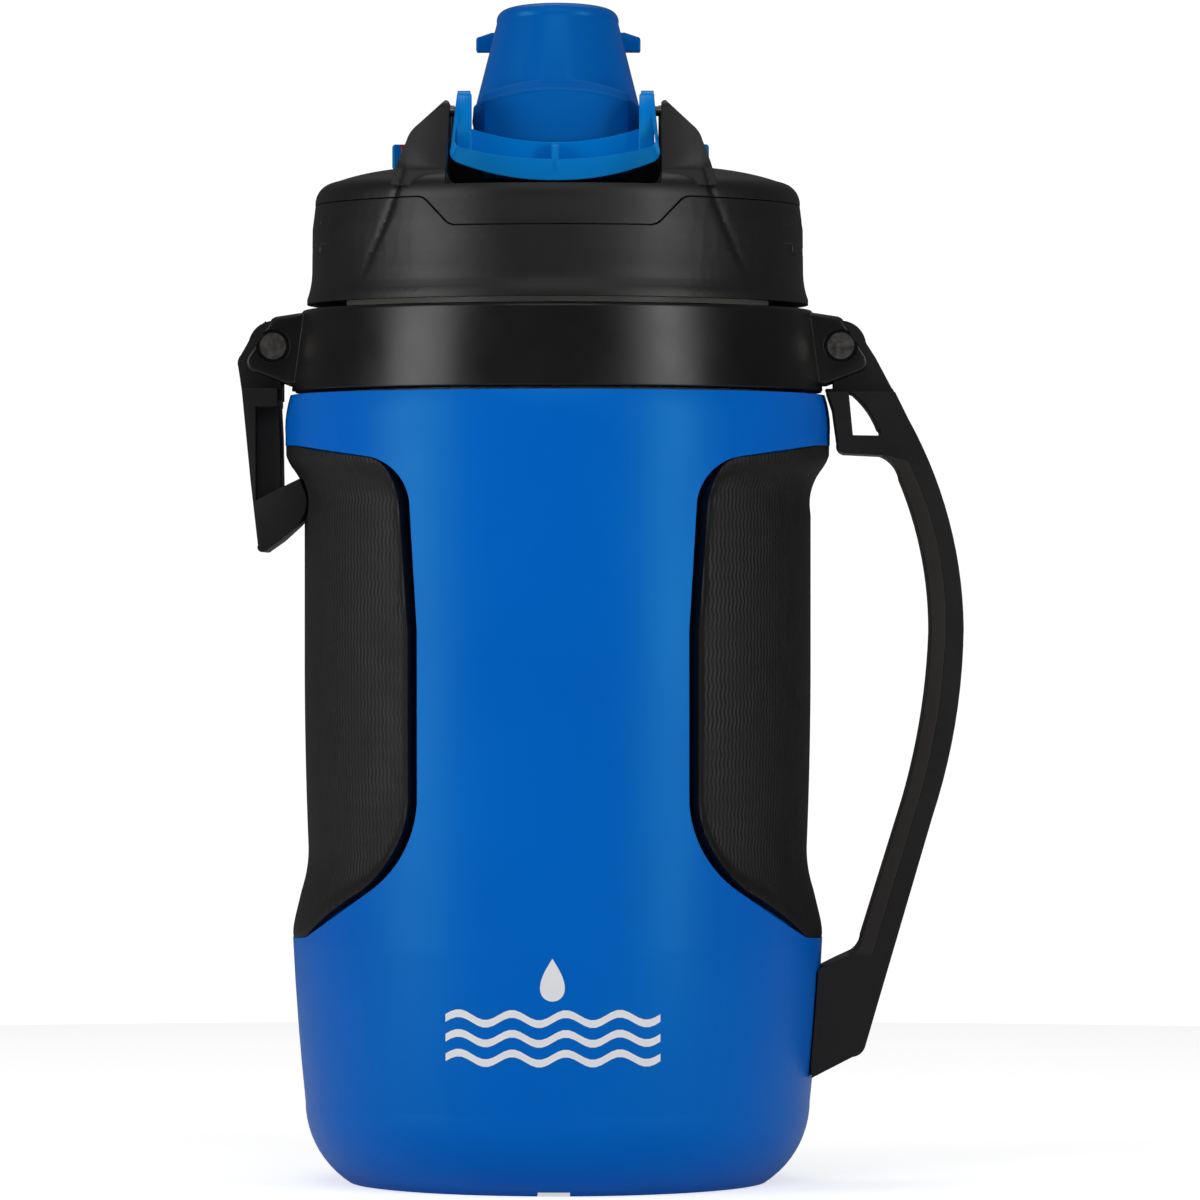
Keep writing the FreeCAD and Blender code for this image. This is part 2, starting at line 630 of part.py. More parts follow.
def lid_form(label, side_inset, top_inset):
    """The lid's outer form, or its hollow when inset."""
    return turned(label, [
        ("0", f"dim.lid_low - {side_inset}"),
        (f"dim.lid_low_r - {side_inset}", f"dim.lid_low - {side_inset}"),
        (f"dim.lid_low_r - {side_inset}", "dim.lid_low + 1.2"),
        (f"dim.lid_r + 0.5 - {side_inset}", "dim.lid_low + 4",
         f"dim.lid_r + 0.1 - {side_inset}", "dim.lid_low + 7.5"),
        (f"dim.lid_r - {side_inset}", "228"),
        (f"dim.lid_seam_r - {side_inset}", "dim.lid_seam"),
        (f"57 - {side_inset}", f"237.3 - {top_inset}", f"53.8 - {side_inset}", f"239.1 - {top_inset}"),
        (f"48.4 - {side_inset}", f"dim.lid_top - 1.8 - {top_inset}",
         f"42.4 - {side_inset}", f"dim.lid_top - 0.7 - {top_inset}"),
        ("0", f"dim.lid_top - {top_inset}"),
    ])


def cover_zone(label, gap):
    """Where the lid is cover and not skirt: above the seam, which dips in front."""
    above = block(f"{label}_above", (-BEYOND, BEYOND), (-BEYOND, BEYOND), (f"dim.lid_seam + {gap}", 300))
    dip = prism(f"{label}_dip", "XZ", [
        (f"22 - {gap}", f"dim.lid_dip + {gap}"),
        (f"23.9 - {gap}", f"dim.lid_dip + 0.3 + {gap}", f"25.2 - {gap}", f"dim.lid_dip + 1.3 + {gap}"),
        (f"29.3 - {gap}", f"dim.lid_seam - 1.1 + {gap}"),
        (f"30.4 - {gap}", f"dim.lid_seam - 0.3 + {gap}", f"32 - {gap}", f"dim.lid_seam + {gap}"),
        (f"32 - {gap}", "dim.lid_seam + 2"),
        (f"-32 + {gap}", "dim.lid_seam + 2"),
        (f"-32 + {gap}", f"dim.lid_seam + {gap}"),
        (f"-30.4 + {gap}", f"dim.lid_seam - 0.3 + {gap}", f"-29.3 + {gap}", f"dim.lid_seam - 1.1 + {gap}"),
        (f"-25.2 + {gap}", f"dim.lid_dip + 1.3 + {gap}"),
        (f"-23.9 + {gap}", f"dim.lid_dip + 0.3 + {gap}", f"-22 + {gap}", f"dim.lid_dip + {gap}"),
    ], -BEYOND, 0)
    return joined(label, above, dip)


def lid_shell(label):
    return cut(label, lid_form(f"{label}_outside", "0", "0"),
               lid_form(f"{label}_hollow", "dim.lid_wall", "dim.lid_wall"))


def lid_skirt():
    sleeve = turned("sleeve", [
        ("dim.sleeve_r", "dim.lid_low + 1.5"),
        ("dim.lid_r - 0.5", "dim.lid_low + 1.5"),
        ("dim.lid_r - 0.5", "dim.lid_low + 3.5"),
        ("dim.sleeve_r + 2.3", "dim.lid_low + 3.5"),
        ("dim.sleeve_r + 2.3", "dim.plate_low - 0.05"),
        ("dim.sleeve_r", "dim.plate_low - 0.05"),
    ])
    teeth = [
        thread_tooth(f"lid_tooth_{start}", "dim.sleeve_r + 0.4", "dim.sleeve_crest_r", 1.2, 0.6,
                     "dim.thread_low", 0.28, start * 180 + 110)
        for start in range(2)
    ]
    wall = cut("skirt_wall", lid_shell("skirt_shell"), cover_zone("skirt_zone", "0"))
    return joined("lid_skirt", wall, sleeve, *teeth)


def horns():
    """The two cheeks that carry the spout cover and the trigger between them."""
    side_view = prism("horn_side", "YZ", [
        ("-47", "236.4"),
        ("-45.5", "240.5"),
        ("-31", "255.6"),
        ("-29", "257.4", "-26", "dim.horn_top"),
        ("-17", "dim.horn_top"),
        ("-14", "257.4", "-11", "256.4"),
        ("30", "252.2"),
        ("36", "251", "38.5", "247"),
        ("41", "236.4"),
    ], -60, 60)
    front_view = prism("horn_front", "XZ", [
        ("dim.bay_half", "236.4"),
        ("dim.bay_half", "dim.horn_top - 1"),
        ("dim.bay_half + 0.3", "dim.horn_top - 0.2", "dim.bay_half + 1.1", "dim.horn_top"),
        ("32.5", "251.1"),
        ("34", "249.3", "34.8", "247.3"),
        ("36.6", "242.3"),
        ("38.3", "236.4"),
    ], -60, 60)
    right = shared("horn_right", front_view, side_view)
    return joined("horns", right, on_left(right, "horn_left"))


def lid_cover():
    dome = shared("cover_dome", lid_shell("cover_shell"), cover_zone("cover_zone", "dim.seam_gap"))
    within = lid_form("cover_within", "0.3", "0.1")
    pan = block("bay_pan", ("-dim.bay_half - 2.2", "dim.bay_half + 2.2"),
                (-60, "dim.bay_back + 2.2"), ("dim.bay_floor - 2.2", "dim.lid_top"))
    horn_pair = horns()
    blank = joined("cover_blank", dome, shared("bay_walls", pan, within), horn_pair)
    bay = block("bay", ("-dim.bay_half", "dim.bay_half"), (-70, "dim.bay_back"), ("dim.bay_floor", 300))
    spout_hole = rod("spout_hole", "dim.spout_r + 1.6", "Z", 0, "dim.spout_y - 1.3", 220, 30)
    hinge_bore = rod("hinge_bore", "dim.hinge_r + 0.02", "X", -28, "dim.hinge_y", "dim.hinge_z", 56)
    trigger_bore = rod("trigger_bore", "dim.trigger_pin_r + 0.02", "X", "-dim.trigger_pin_end - 0.1",
                       "dim.trigger_y", "dim.trigger_z", "2 * dim.trigger_pin_end + 0.2")
    bar_hole = block("bar_hole", (-60, 60),
                     ("dim.bar_y - dim.bar_deep / 2 - dim.slide_gap",
                      "dim.bar_y + dim.bar_deep / 2 + dim.slide_gap"),
                     ("dim.bar_z - dim.bar_tall / 2 - dim.slide_gap",
                      "dim.bar_z + dim.bar_tall / 2 + dim.slide_gap"))
    seats = [
        block(f"spring_seat_{side}", (f"{middle} - 2.4", f"{middle} + 2.4"),
              ("dim.spring_back", "dim.spring_back + 1.6"), ("dim.bay_floor - 0.5", "dim.spring_z + 2"))
        for side, middle in SPRING_PLACES
    ]
    wall = block("bay_wall", ("-dim.bay_half - 0.5", "dim.bay_half + 0.5"),
                 ("dim.bay_wall_y", "dim.bay_wall_y + 1.4"), ("dim.bay_floor - 0.5", "dim.bay_wall_top"))
    spring_holes = [
        rod(f"spring_hole_{side}", 2.7, "Y", middle, -20, "dim.spring_z", 10)
        for side, middle in SPRING_PLACES
    ]
    hollowed = cut("cover_hollowed", blank, bay, spout_hole, hinge_bore, trigger_bore, bar_hole)
    return joined("lid_cover", hollowed, cut("bay_wall_bored", wall, *spring_holes), *seats)


def lid_inner_plate():
    plate = turned("plate", [
        ("0", "dim.plate_low"),
        ("dim.mouth_r - 2.8", "dim.plate_low"),
        ("dim.mouth_r - 2.8", "dim.rim - 4"),
        ("dim.mouth_r - 1", "dim.rim - 4"),
        ("dim.mouth_r - 1", "dim.plate_low"),
        ("dim.sleeve_r + 2.3", "dim.plate_low"),
        ("dim.sleeve_r + 2.3", "dim.plate_high"),
        ("0", "dim.plate_high"),
    ])
    spout_hole = rod("plate_spout_hole", "dim.spout_r + 0.3", "Z", 0, "dim.spout_foot_y", 210, 30)
    vent_hole = rod("plate_vent_hole", "dim.vent_hole_r", "Z", 0, "dim.vent_y", 210, 30)
    return cut("lid_inner_plate", plate, spout_hole, vent_hole)


def lid_gasket():
    return turned("lid_gasket", [
        ("dim.mouth_r - 0.5", "dim.rim + dim.gasket_gap"),
        ("dim.neck_r - 0.1", "dim.rim + dim.gasket_gap"),
        ("dim.neck_r - 0.1", "dim.plate_low - dim.gasket_gap"),
        ("dim.mouth_r - 0.5", "dim.plate_low - dim.gasket_gap"),
    ])


def vent_valve():
    valve = turned("vent_valve", [
        ("0", "226.6"),
        ("1.1", "226.6"),
        ("dim.vent_hole_r - dim.vent_fit", "227.6"),
        ("dim.vent_hole_r - dim.vent_fit", "dim.plate_high + 0.05"),
        ("4", "dim.plate_high + 0.05"),
        ("4", "dim.plate_high + 0.7"),
        ("2.2", "dim.plate_high + 1.5"),
        ("0", "dim.plate_high + 1.5"),
    ])
    place_at(valve, 0, "dim.vent_y", 0)
    return valve


def drinking_spout():
    """A tube on the tilted axis, with a level flange over the inner plate."""
    tube = tilted(turned("spout_tube", [
        ("0", "-29"),
        ("dim.spout_r", "-29"),
        ("dim.spout_r", "12.6"),
        ("dim.spout_r + 0.6", "13.4"),
        ("dim.spout_r + 0.7", "15.4", "dim.spout_r - 0.8", "16"),
        ("0", "16"),
    ]))
    below = block("spout_below", (-30, 30), (-40, 40), (200, "dim.plate_high + 0.6"))
    spigot = rod("spout_spigot", "dim.spout_r - 0.3", "Z", 0, "dim.spout_foot_y", "dim.rim - 3", 8)
    flange = rod("spout_flange", "dim.spout_r + 3.5", "Z", 0, "dim.spout_foot_y",
                 "dim.plate_high + 0.05", 1.9)
    bore = tilted(turned("spout_bore", [
        ("0", "-21"),
        ("dim.spout_bore_r", "-21"),
        ("dim.spout_bore_r", "20"),
        ("0", "20"),
    ]))
    bore_base = rod("spout_bore_low", "dim.spout_bore_r - 0.5", "Z", 0, "dim.spout_foot_y", 200, 31.5)
    return cut("drinking_spout", joined("spout_blank", cut("spout_upper", tube, below), spigot, flange),
               bore, bore_base)


def coil(label, radius, wire, pitch, turns, axis, x, y, z):
    """A spring of round wire whose coil starts at (x, y, z) and runs along +axis."""
    helix = doc.addObject("Part::Helix", f"{label}_helix")
    helix.Pitch = pitch
    helix.Height = pitch * turns
    helix.Radius = radius
    section = doc.addObject("Part::Circle", f"{label}_section")
    section.Radius = wire / 2
    turn = TURN_TO[axis]
    start = Vector(number(x), number(y), number(z))
    helix.Placement = Placement(start, turn)
    section.Placement = Placement(start + turn.multVec(Vector(radius, 0, 0)),
                                  turn.multiply(Rotation(Vector(1, 0, 0), 90)))
    doc.recompute()
    spring = doc.addObject("Part::Sweep", label)
    spring.Sections = [section]
    spring.Spine = (helix, [f"Edge{i + 1}" for i in range(len(helix.Shape.Edges))])
    spring.Solid = True
    spring.Frenet = True
    return spring


def group(label, pieces):
    """Several separate solids that share one node."""
    compound = doc.addObject("Part::Compound", label)
    compound.Links = pieces
    return compound


# ---------------------------------------------------------------- spout cover, trigger and lock

def spout_cover():
    """The flip-up cap over the spout: a hollow cone with an apron in front and two finger wings."""
    cone = tilted(turned("cone", [
        ("0", "-5"),
        ("20.3", "-5"),
        ("20.3", "5.2"),
        ("14.65", "27.8"),
        ("14", "30.1", "10.5", "31.3"),
        ("0", "31.6"),
    ]))
    inside = tilted(turned("cone_inside", [
        ("0", "-20"),
        ("18.2", "-20"),
        ("18.2", "5"),
        ("12.6", "27.4"),
        ("12", "29", "10.4", "29.5"),
        ("0", "29.5"),
    ]))
    apron = prism("apron", "XZ", [
        ("-20", "252.4"),
        ("-19.6", "250.7", "-18", "250.1"),
        ("0", "247.5", "18", "250.1"),
        ("19.6", "250.7", "20", "252.4"),
        ("20", "256"),
        ("19.2", "260", "15", "261"),
        ("0", "262.4", "-15", "261"),
        ("-19.2", "260", "-20", "256"),
    ], "dim.apron_front", "dim.spout_y")
    wings = rounded("wings", block("wing_bar", (-19.8, 19.8), (6.5, 10.5), (271.3, 276.1)), 1.1,
                    lambda edge: abs(edge.CenterOfMass.x) > 19)
    barrel = rod("cover_barrel", "dim.barrel_r", "X", "-dim.barrel_half", "dim.hinge_y", "dim.hinge_z",
                 "2 * dim.barrel_half")
    neck = block("cover_neck", ("2 - dim.barrel_half", "dim.barrel_half - 2"), (10, "dim.hinge_y"),
                 ("dim.hinge_z - 3", "dim.hinge_z + 3"))
    tail = block("cover_tail", (-7.2, -2.8), ("dim.hinge_y", "dim.hinge_y + 6.8"),
                 ("dim.bar_z + dim.bar_tall / 2 + 0.5", "dim.bar_z + dim.bar_tall / 2 + 1.9"))
    tail_foot = block("tail_foot", (-7.2, -2.8), ("dim.hinge_y - 2", "dim.hinge_y + 2.5"),
                      ("dim.hinge_z", "dim.bar_z + dim.bar_tall / 2 + 1.9"))
    bore = rod("cover_bore", "dim.hinge_r + dim.pin_fit", "X", -30, "dim.hinge_y", "dim.hinge_z", 60)
    catch_slot = block("catch_slot", (-6.5, 6.5), (-22.6, -15), (249.2, 252.3))
    blank = joined("cover_body", cone, apron, wings, barrel, neck, tail, tail_foot)
    return cut("spout_cover", blank, inside, bore, catch_slot)


def cover_seal():
    """A soft plug that hangs in the cover and closes the spout's mouth."""
    return tilted(turned("cover_seal", [
        ("0", "14.8"),
        ("6.4", "14.8"),
        ("6.8", "16.1"),
        ("9.8", "16.1"),
        ("9.8", "18.6"),
        ("5", "19.6"),
        ("5", "29.45"),
        ("0", "29.45"),
    ]))


def release_trigger():
    """The U-shaped front lever. Its lower lip is pressed in, and its hook frees the cover."""
    inner = "dim.trigger_half - dim.arm_thick"
    lip = prism("trigger_lip", "XZ", [
        ("-dim.trigger_half", "246.5"),
        ("-dim.trigger_half", "244.6"),
        ("-dim.trigger_half + 0.5", "243", "-dim.trigger_half + 2.6", "242.2"),
        ("0", "238.2", "dim.trigger_half - 2.6", "242.2"),
        ("dim.trigger_half - 0.5", "243", "dim.trigger_half", "244.6"),
        ("dim.trigger_half", "246.5"),
        (inner, "246.5"),
        ("0", "242.7", f"-({inner})", "246.5"),
    ], -34, -26.5)
    arms = prism("trigger_arms", "YZ", [
        ("-33.4", "244.5"),
        ("-30.5", "254"),
        ("-27", "259.2"),
        ("-24.6", "260.1", "-22.2", "259"),
        ("-22.6", "252"),
        ("-26.5", "244.5"),
    ], "-dim.trigger_half", "dim.trigger_half")
    between = block("between_arms", (f"-({inner})", inner), (-50, 0), (230, 270))
    web = block("trigger_web", (-17, 17), (-20.6, -19), (239.4, 244.4))
    bridge = block("trigger_bridge", (-17, 17), (-29, -19), (239.6, 241.6))
    back = block("trigger_back", (-20, 20), (-28.4, -26.8), (240.5, 246))
    rib = block("trigger_rib", (-0.75, 0.75), (-32, -27), (241, 246.4))
    post = block("trigger_post", (-4, 4), (-20.4, -19), (241, 251.2))
    hook = block("trigger_hook", (-4, 4), (-21.8, -20), (249.7, 251.2))
    bore = rod("trigger_pin_bore", "dim.trigger_pin_r + dim.pin_fit", "X", -30, "dim.trigger_y",
               "dim.trigger_z", 60)
    blank = joined("trigger_blank", lip, cut("trigger_arm_pair", arms, between), web, bridge, back,
                   rib, post, hook)
    return cut("release_trigger", blank, bore)


def lock_bar():
    """The bolt across the bay, and the red band that shows when it is unlocked."""
    half_deep = "dim.bar_deep / 2"
    half_tall = "dim.bar_tall / 2"
    bar = block("bar_blank", ("dim.bar_left", "dim.bar_right"),
                (f"dim.bar_y - {half_deep}", f"dim.bar_y + {half_deep}"),
                (f"dim.bar_z - {half_tall}", f"dim.bar_z + {half_tall}"))
    bar_round = rounded("bar_round", bar, 0.8, lambda edge: edge.Length < 10)
    core = block("band_core", ("dim.bar_left + 2.2", "dim.bar_left + 6.4"),
                 ("dim.bar_y - 1.4", "dim.bar_y + 1.4"), ("dim.bar_z - 1.6", "dim.bar_z + 1.6"))
    band_zone = block("band_zone", ("dim.bar_left + 2.2", "dim.bar_left + 6.4"), (0, 60), (200, 260))
    tail_notch = block("tail_notch", (-8.2, -1.8), (0, "dim.hinge_y + 9.4"), (200, 260))
    slider = joined("lock_slider", cut("bar_cut", bar_round, band_zone, tail_notch), core)
    band = cut("lock_indicator", shared("band_blank", bar_round, band_zone), core)
    return [slider, band]


def build():
    return [
        outer_shell(), base_plate(), inner_vessel(), foam_insulation(), *side_grips(),
        neck_collar(), rivet("handle_pin", "dim.pin_x"), rivet("hook_pin", "-dim.pin_x"),
        *handle(), fence_hook(),
        lid_gasket(), lid_skirt(), lid_cover(), lid_inner_plate(), vent_valve(), drinking_spout(),
        rod("cover_hinge_pin", "dim.hinge_r", "X", -27.8, "dim.hinge_y", "dim.hinge_z", 55.6),
        coil("cover_spring", 2.6, 0.6, 1.2, 5, "X", 13.5, "dim.hinge_y", "dim.hinge_z"),
        group("trigger_pins", [
            rod(f"trigger_pin_{side}", "dim.trigger_pin_r", "X", start, "dim.trigger_y",
                "dim.trigger_z", "dim.trigger_pin_long")
            for side, start in (("left", "-dim.trigger_pin_end"),
                                ("right", "dim.trigger_pin_end - dim.trigger_pin_long"))
        ]),
        group("trigger_springs", [
            coil(f"trigger_spring_{side}", 1.8, 0.5, 1.8, 5, "Y", middle, "dim.spring_front", "dim.spring_z")
            for side, middle in SPRING_PLACES
        ]),
        spout_cover(), cover_seal(), release_trigger(), *lock_bar(),
    ]


def check_and_export(nodes):
    doc.recompute()
    for item in doc.Objects:
        if "Invalid" in item.State or "Error" in item.State:
            raise RuntimeError(f"{item.Label} failed: {item.State}")
    os.makedirs("parts", exist_ok=True)
    for node in nodes:
        shape = node.Shape
        if shape.isNull() or not shape.isValid():
            raise RuntimeError(f"{node.Label} has no valid shape")
        print(f"{node.Label:18} solids {len(shape.Solids)} volume {shape.Volume / 1000:9.2f} cm3")
        shape.exportStep(f"parts/{node.Label}.step")


check_and_export(build())
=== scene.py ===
import math

import bmesh
import bpy
from mathutils import Matrix, Vector


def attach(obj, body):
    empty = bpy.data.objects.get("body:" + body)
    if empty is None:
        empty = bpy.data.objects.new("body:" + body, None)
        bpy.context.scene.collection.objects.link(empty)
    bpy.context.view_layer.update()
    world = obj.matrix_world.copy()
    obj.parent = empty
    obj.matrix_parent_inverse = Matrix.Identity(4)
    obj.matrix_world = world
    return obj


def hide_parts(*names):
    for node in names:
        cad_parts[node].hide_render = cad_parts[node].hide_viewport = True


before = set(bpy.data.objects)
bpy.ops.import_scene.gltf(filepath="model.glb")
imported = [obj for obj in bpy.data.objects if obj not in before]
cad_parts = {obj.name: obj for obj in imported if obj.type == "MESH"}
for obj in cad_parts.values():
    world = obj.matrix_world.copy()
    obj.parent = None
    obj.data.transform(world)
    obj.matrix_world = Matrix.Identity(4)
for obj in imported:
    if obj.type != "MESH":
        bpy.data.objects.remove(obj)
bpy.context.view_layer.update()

MM = 0.001

# Insulated sports water jug, looked at from the front (-Y) as in a product photograph.


# ---------------------------------------------------------------- materials

LIGHTING = 0.56


def linear(red, green, blue):
    """The true colour of what looks like this 8-bit sRGB colour under the studio's lamps."""
    def channel(value):
        value /= 255
        lit = value / 12.92 if value <= 0.04045 else ((value + 0.055) / 1.055) ** 2.4
        return lit * LIGHTING
    return (channel(red), channel(green), channel(blue), 1)


class Nodes:
    """Shorthand for building one material's node tree."""

    def __init__(self, name):
        self.material = bpy.data.materials.new(name)
        self.material.use_nodes = True
        self.tree = self.material.node_tree
        self.tree.nodes.clear()
        self.output = self.add("ShaderNodeOutputMaterial")
        self.shader = self.add("ShaderNodeBsdfPrincipled")
        self.link(self.shader, 0, self.output, 0)
        self.place = self.add("ShaderNodeTexCoord")

    def add(self, kind, **settings):
        node = self.tree.nodes.new(kind)
        for key, value in settings.items():
            setattr(node, key, value)
        return node

    def link(self, source, output, target, socket):
        self.tree.links.new(source.outputs[output], target.inputs[socket])

    def noise(self, scale, detail=3, stretch=(1, 1, 1)):
        """Noise of the given scale per metre, in the object's own frame."""
        mapping = self.add("ShaderNodeMapping")
        mapping.inputs["Scale"].default_value = stretch
        self.link(self.place, "Object", mapping, "Vector")
        texture = self.add("ShaderNodeTexNoise")
        texture.inputs["Scale"].default_value = scale
        texture.inputs["Detail"].default_value = detail
        self.link(mapping, 0, texture, "Vector")
        return texture

    def ramp(self, source, output, low, high):
        """The source's 0.3 to 0.7 spread over low to high."""
        spread = self.add("ShaderNodeMapRange")
        for socket, value in (("From Min", 0.3), ("From Max", 0.7), ("To Min", low), ("To Max", high)):
            spread.inputs[socket].default_value = value
        self.link(source, output, spread, "Value")
        return spread

    def mix_colour(self, factor, first, second):
        mix = self.add("ShaderNodeMix", data_type="RGBA")
        mix.inputs[6].default_value = first
        mix.inputs[7].default_value = second
        self.link(factor, 0, mix, 0)
        return mix

    def bump(self, height, output, depth, strength=1.0, under=None):
        bump = self.add("ShaderNodeBump")
        bump.inputs["Distance"].default_value = depth
        bump.inputs["Strength"].default_value = strength
        self.link(height, output, bump, "Height")
        if under is not None:
            self.link(under, 0, bump, "Normal")
        return bump


def moulded(name, colour, dark, light, roughness, spread, grain, grain_depth, edge=0.35, **extra):
    """Moulded plastic: blotchy tone, fine grain, uneven gloss, and a painted highlight along its edges."""
    n = Nodes(name)
    tone = n.ramp(n.noise(22, 4), "Fac", 0, 1)
    body_colour = n.mix_colour(tone, linear(*dark), linear(*colour))
    rounded = n.add("ShaderNodeBevel", samples=4)
    rounded.inputs["Radius"].default_value = edge * MM
    facing = n.add("ShaderNodeVectorMath", operation="DOT_PRODUCT")
    geometry = n.add("ShaderNodeNewGeometry")
    n.link(rounded, 0, facing, 0)
    n.link(geometry, "Normal", facing, 1)
    # Painted highlight: edges get the light colour where the rounded normal turns away from the face's,
    # broken into patches.
    edge_highlight = n.add("ShaderNodeMapRange")
    for socket, value in (("From Min", 0.99), ("From Max", 0.88), ("To Min", 0), ("To Max", 1)):
        edge_highlight.inputs[socket].default_value = value
    n.link(facing, "Value", edge_highlight, "Value")
    patchy_edge_highlight = n.add("ShaderNodeMath", operation="MULTIPLY")
    n.link(edge_highlight, 0, patchy_edge_highlight, 0)
    n.link(n.ramp(n.noise(180, 2), "Fac", 0.1, 0.8), 0, patchy_edge_highlight, 1)
    edge_lit_colour = n.add("ShaderNodeMix", data_type="RGBA")
    edge_lit_colour.inputs[7].default_value = linear(*light)
    n.link(body_colour, 2, edge_lit_colour, 6)
    n.link(patchy_edge_highlight, 0, edge_lit_colour, 0)
    n.link(edge_lit_colour, 2, n.shader, "Base Color")
    gloss = n.ramp(n.noise(60, 5), "Fac", roughness - spread, roughness + spread)
    n.link(gloss, 0, n.shader, "Roughness")
    grained = n.bump(n.noise(grain, 2), "Fac", grain_depth * MM, under=rounded)
    n.link(grained, 0, n.shader, "Normal")
    for socket, value in extra.items():
        n.shader.inputs[socket.replace("_", " ")].default_value = value
    return n.material


# In each moulded material the third colour is the painted highlight along its edges.
BLUE_SHEEN = {"Specular_Tint": (0.12, 0.9, 0.85, 1), "Specular_IOR_Level": 0.28}
BLUE_SHELL = moulded("blue_shell", (0, 127, 250), (0, 121, 243), (40, 150, 252), 0.36, 0.03, 2600, 0.012,
                     **BLUE_SHEEN)
BLUE_GLOSS = moulded("blue_gloss", (0, 119, 228), (0, 114, 220), (50, 150, 245), 0.36, 0.04, 1500, 0.008,
                     **BLUE_SHEEN)
# The trigger's blue: the cap's plastic painted brighter, a painted highlight for the light the trigger
# catches.
BLUE_PAINTED_LIT = moulded("blue_painted_lit", (0, 162, 274), (0, 156, 266), (60, 175, 280), 0.33, 0.04, 1500, 0.008,
                      **BLUE_SHEEN)
BLACK = moulded("black_plastic", (20, 18, 18), (15, 14, 14), (42, 39, 38), 0.46, 0.05, 2200, 0.02,
                Specular_IOR_Level=0.38)
BLACK_COLLAR = moulded("black_collar", (9, 8, 8), (6, 6, 6), (32, 30, 29), 0.34, 0.05, 1700, 0.012,
                       Specular_IOR_Level=0.38)
GRIP_BROWN = moulded("soft_grip", (47, 40, 37), (40, 34, 31), (70, 63, 60), 0.6, 0.06, 1800, 0.03,
                     Specular_IOR_Level=0.35)
LINER = moulded("liner", (232, 230, 222), (222, 220, 211), (245, 244, 240), 0.4, 0.06, 700, 0.01)
FOAM = moulded("foam", (216, 205, 160), (196, 184, 140), (230, 220, 180), 0.9, 0.05, 900, 0.2)
SILICONE = moulded("silicone", (224, 227, 228), (210, 214, 216), (240, 242, 243), 0.45, 0.05, 900, 0.01,
                   Subsurface_Weight=0.15)
RED = moulded("red_plastic", (196, 18, 22), (180, 14, 18), (225, 70, 70), 0.3, 0.05, 1500, 0.008)
# Above plain white, because linear() darkens every colour for the lamps.
WHITE = moulded("white_ink", (300, 302, 304), (290, 292, 295), (304, 305, 306), 0.45, 0.05, 1500, 0.004)


def waved_grip(name, colour, dark, pitch, wave, wave_length):
    """Soft rubber with fine upright wavy ribs all round the jug (lengths in millimetres)."""
    n = Nodes(name)
    parts = n.add("ShaderNodeSeparateXYZ")
    n.link(n.place, "Object", parts, 0)

    def sum_of(kind, first, second):
        node = n.add("ShaderNodeMath", operation=kind)
        for socket, value in enumerate((first, second)):
            if isinstance(value, tuple):
                n.link(*value, node, socket)
            elif value is not None:
                node.inputs[socket].default_value = value
        return (node, 0)

    turn = sum_of("ARCTAN2", (parts, "Y"), (parts, "X"))
    along = sum_of("MULTIPLY", turn, 61 / pitch)
    up = sum_of("MULTIPLY", (parts, "Z"), 2 * math.pi / (wave_length * MM))
    sway = sum_of("MULTIPLY", sum_of("SINE", up, None), wave)
    rib = sum_of("SINE", sum_of("MULTIPLY", sum_of("ADD", along, sway), 2 * math.pi), None)
    broken = n.ramp(n.noise(420, 2, (1, 1, 0.35)), "Fac", 0.25, 1)
    height = sum_of("MULTIPLY", rib, (broken, 0))
    # The grooves between the ribs are painted darker than their crests: painted shade.
    shade = n.add("ShaderNodeMapRange")
    for socket, value in (("From Min", -1), ("From Max", 1), ("To Min", 0), ("To Max", 1)):
        shade.inputs[socket].default_value = value
    n.link(*height, shade, "Value")
    n.link(n.mix_colour(shade, linear(*dark), linear(*colour)), 2, n.shader, "Base Color")
    n.link(n.ramp(n.noise(90, 4), "Fac", 0.56, 0.68), 0, n.shader, "Roughness")
    n.link(n.bump(*height, 0.07 * MM, under=n.bump(n.noise(2400, 2), "Fac", 0.02 * MM)), 0, n.shader,
           "Normal")
    n.shader.inputs["Specular IOR Level"].default_value = 0.35
    return n.material


# The second colour is the painted shade in the grooves between the ribs.
SOFT = waved_grip("soft_black", (23, 21, 22), (12, 11, 11), 1.25, 0.16, 4)


def turned_steel(name, colour, dark, roughness):
    """Steel with a fine grain and a few dull patches."""
    n = Nodes(name)
    tone = n.ramp(n.noise(400, 4), "Fac", 0, 1)
    n.link(n.mix_colour(tone, linear(*dark), linear(*colour)), 2, n.shader, "Base Color")
    n.shader.inputs["Metallic"].default_value = 1
    n.link(n.ramp(n.noise(900, 5), "Fac", roughness - 0.08, roughness + 0.12), 0, n.shader, "Roughness")
    n.link(n.bump(n.noise(3000, 3), "Fac", 0.01 * MM), 0, n.shader, "Normal")
    return n.material


STEEL = turned_steel("steel", (150, 146, 142), (110, 106, 102), 0.38)
SPRING = turned_steel("spring_steel", (190, 190, 190), (150, 150, 150), 0.3)

NODE_FINISH = {
    BLUE_SHELL: ["outer_shell"],
    BLUE_GLOSS: ["spout_cover", "release_trigger", "lock_slider"],
    BLACK: ["lid_skirt", "lid_cover", "handle_frame", "fence_hook", "base_plate"],
    BLACK_COLLAR: ["neck_collar"],
    SOFT: ["left_grip", "right_grip"],
    GRIP_BROWN: ["handle_grip"],
    LINER: ["inner_vessel", "lid_inner_plate", "drinking_spout"],
    FOAM: ["foam_insulation"],
    SILICONE: ["lid_gasket", "vent_valve", "cover_seal"],
    RED: ["lock_indicator"],
    STEEL: ["handle_pin", "hook_pin", "cover_hinge_pin", "trigger_pins"],
    SPRING: ["cover_spring", "trigger_springs"],
}


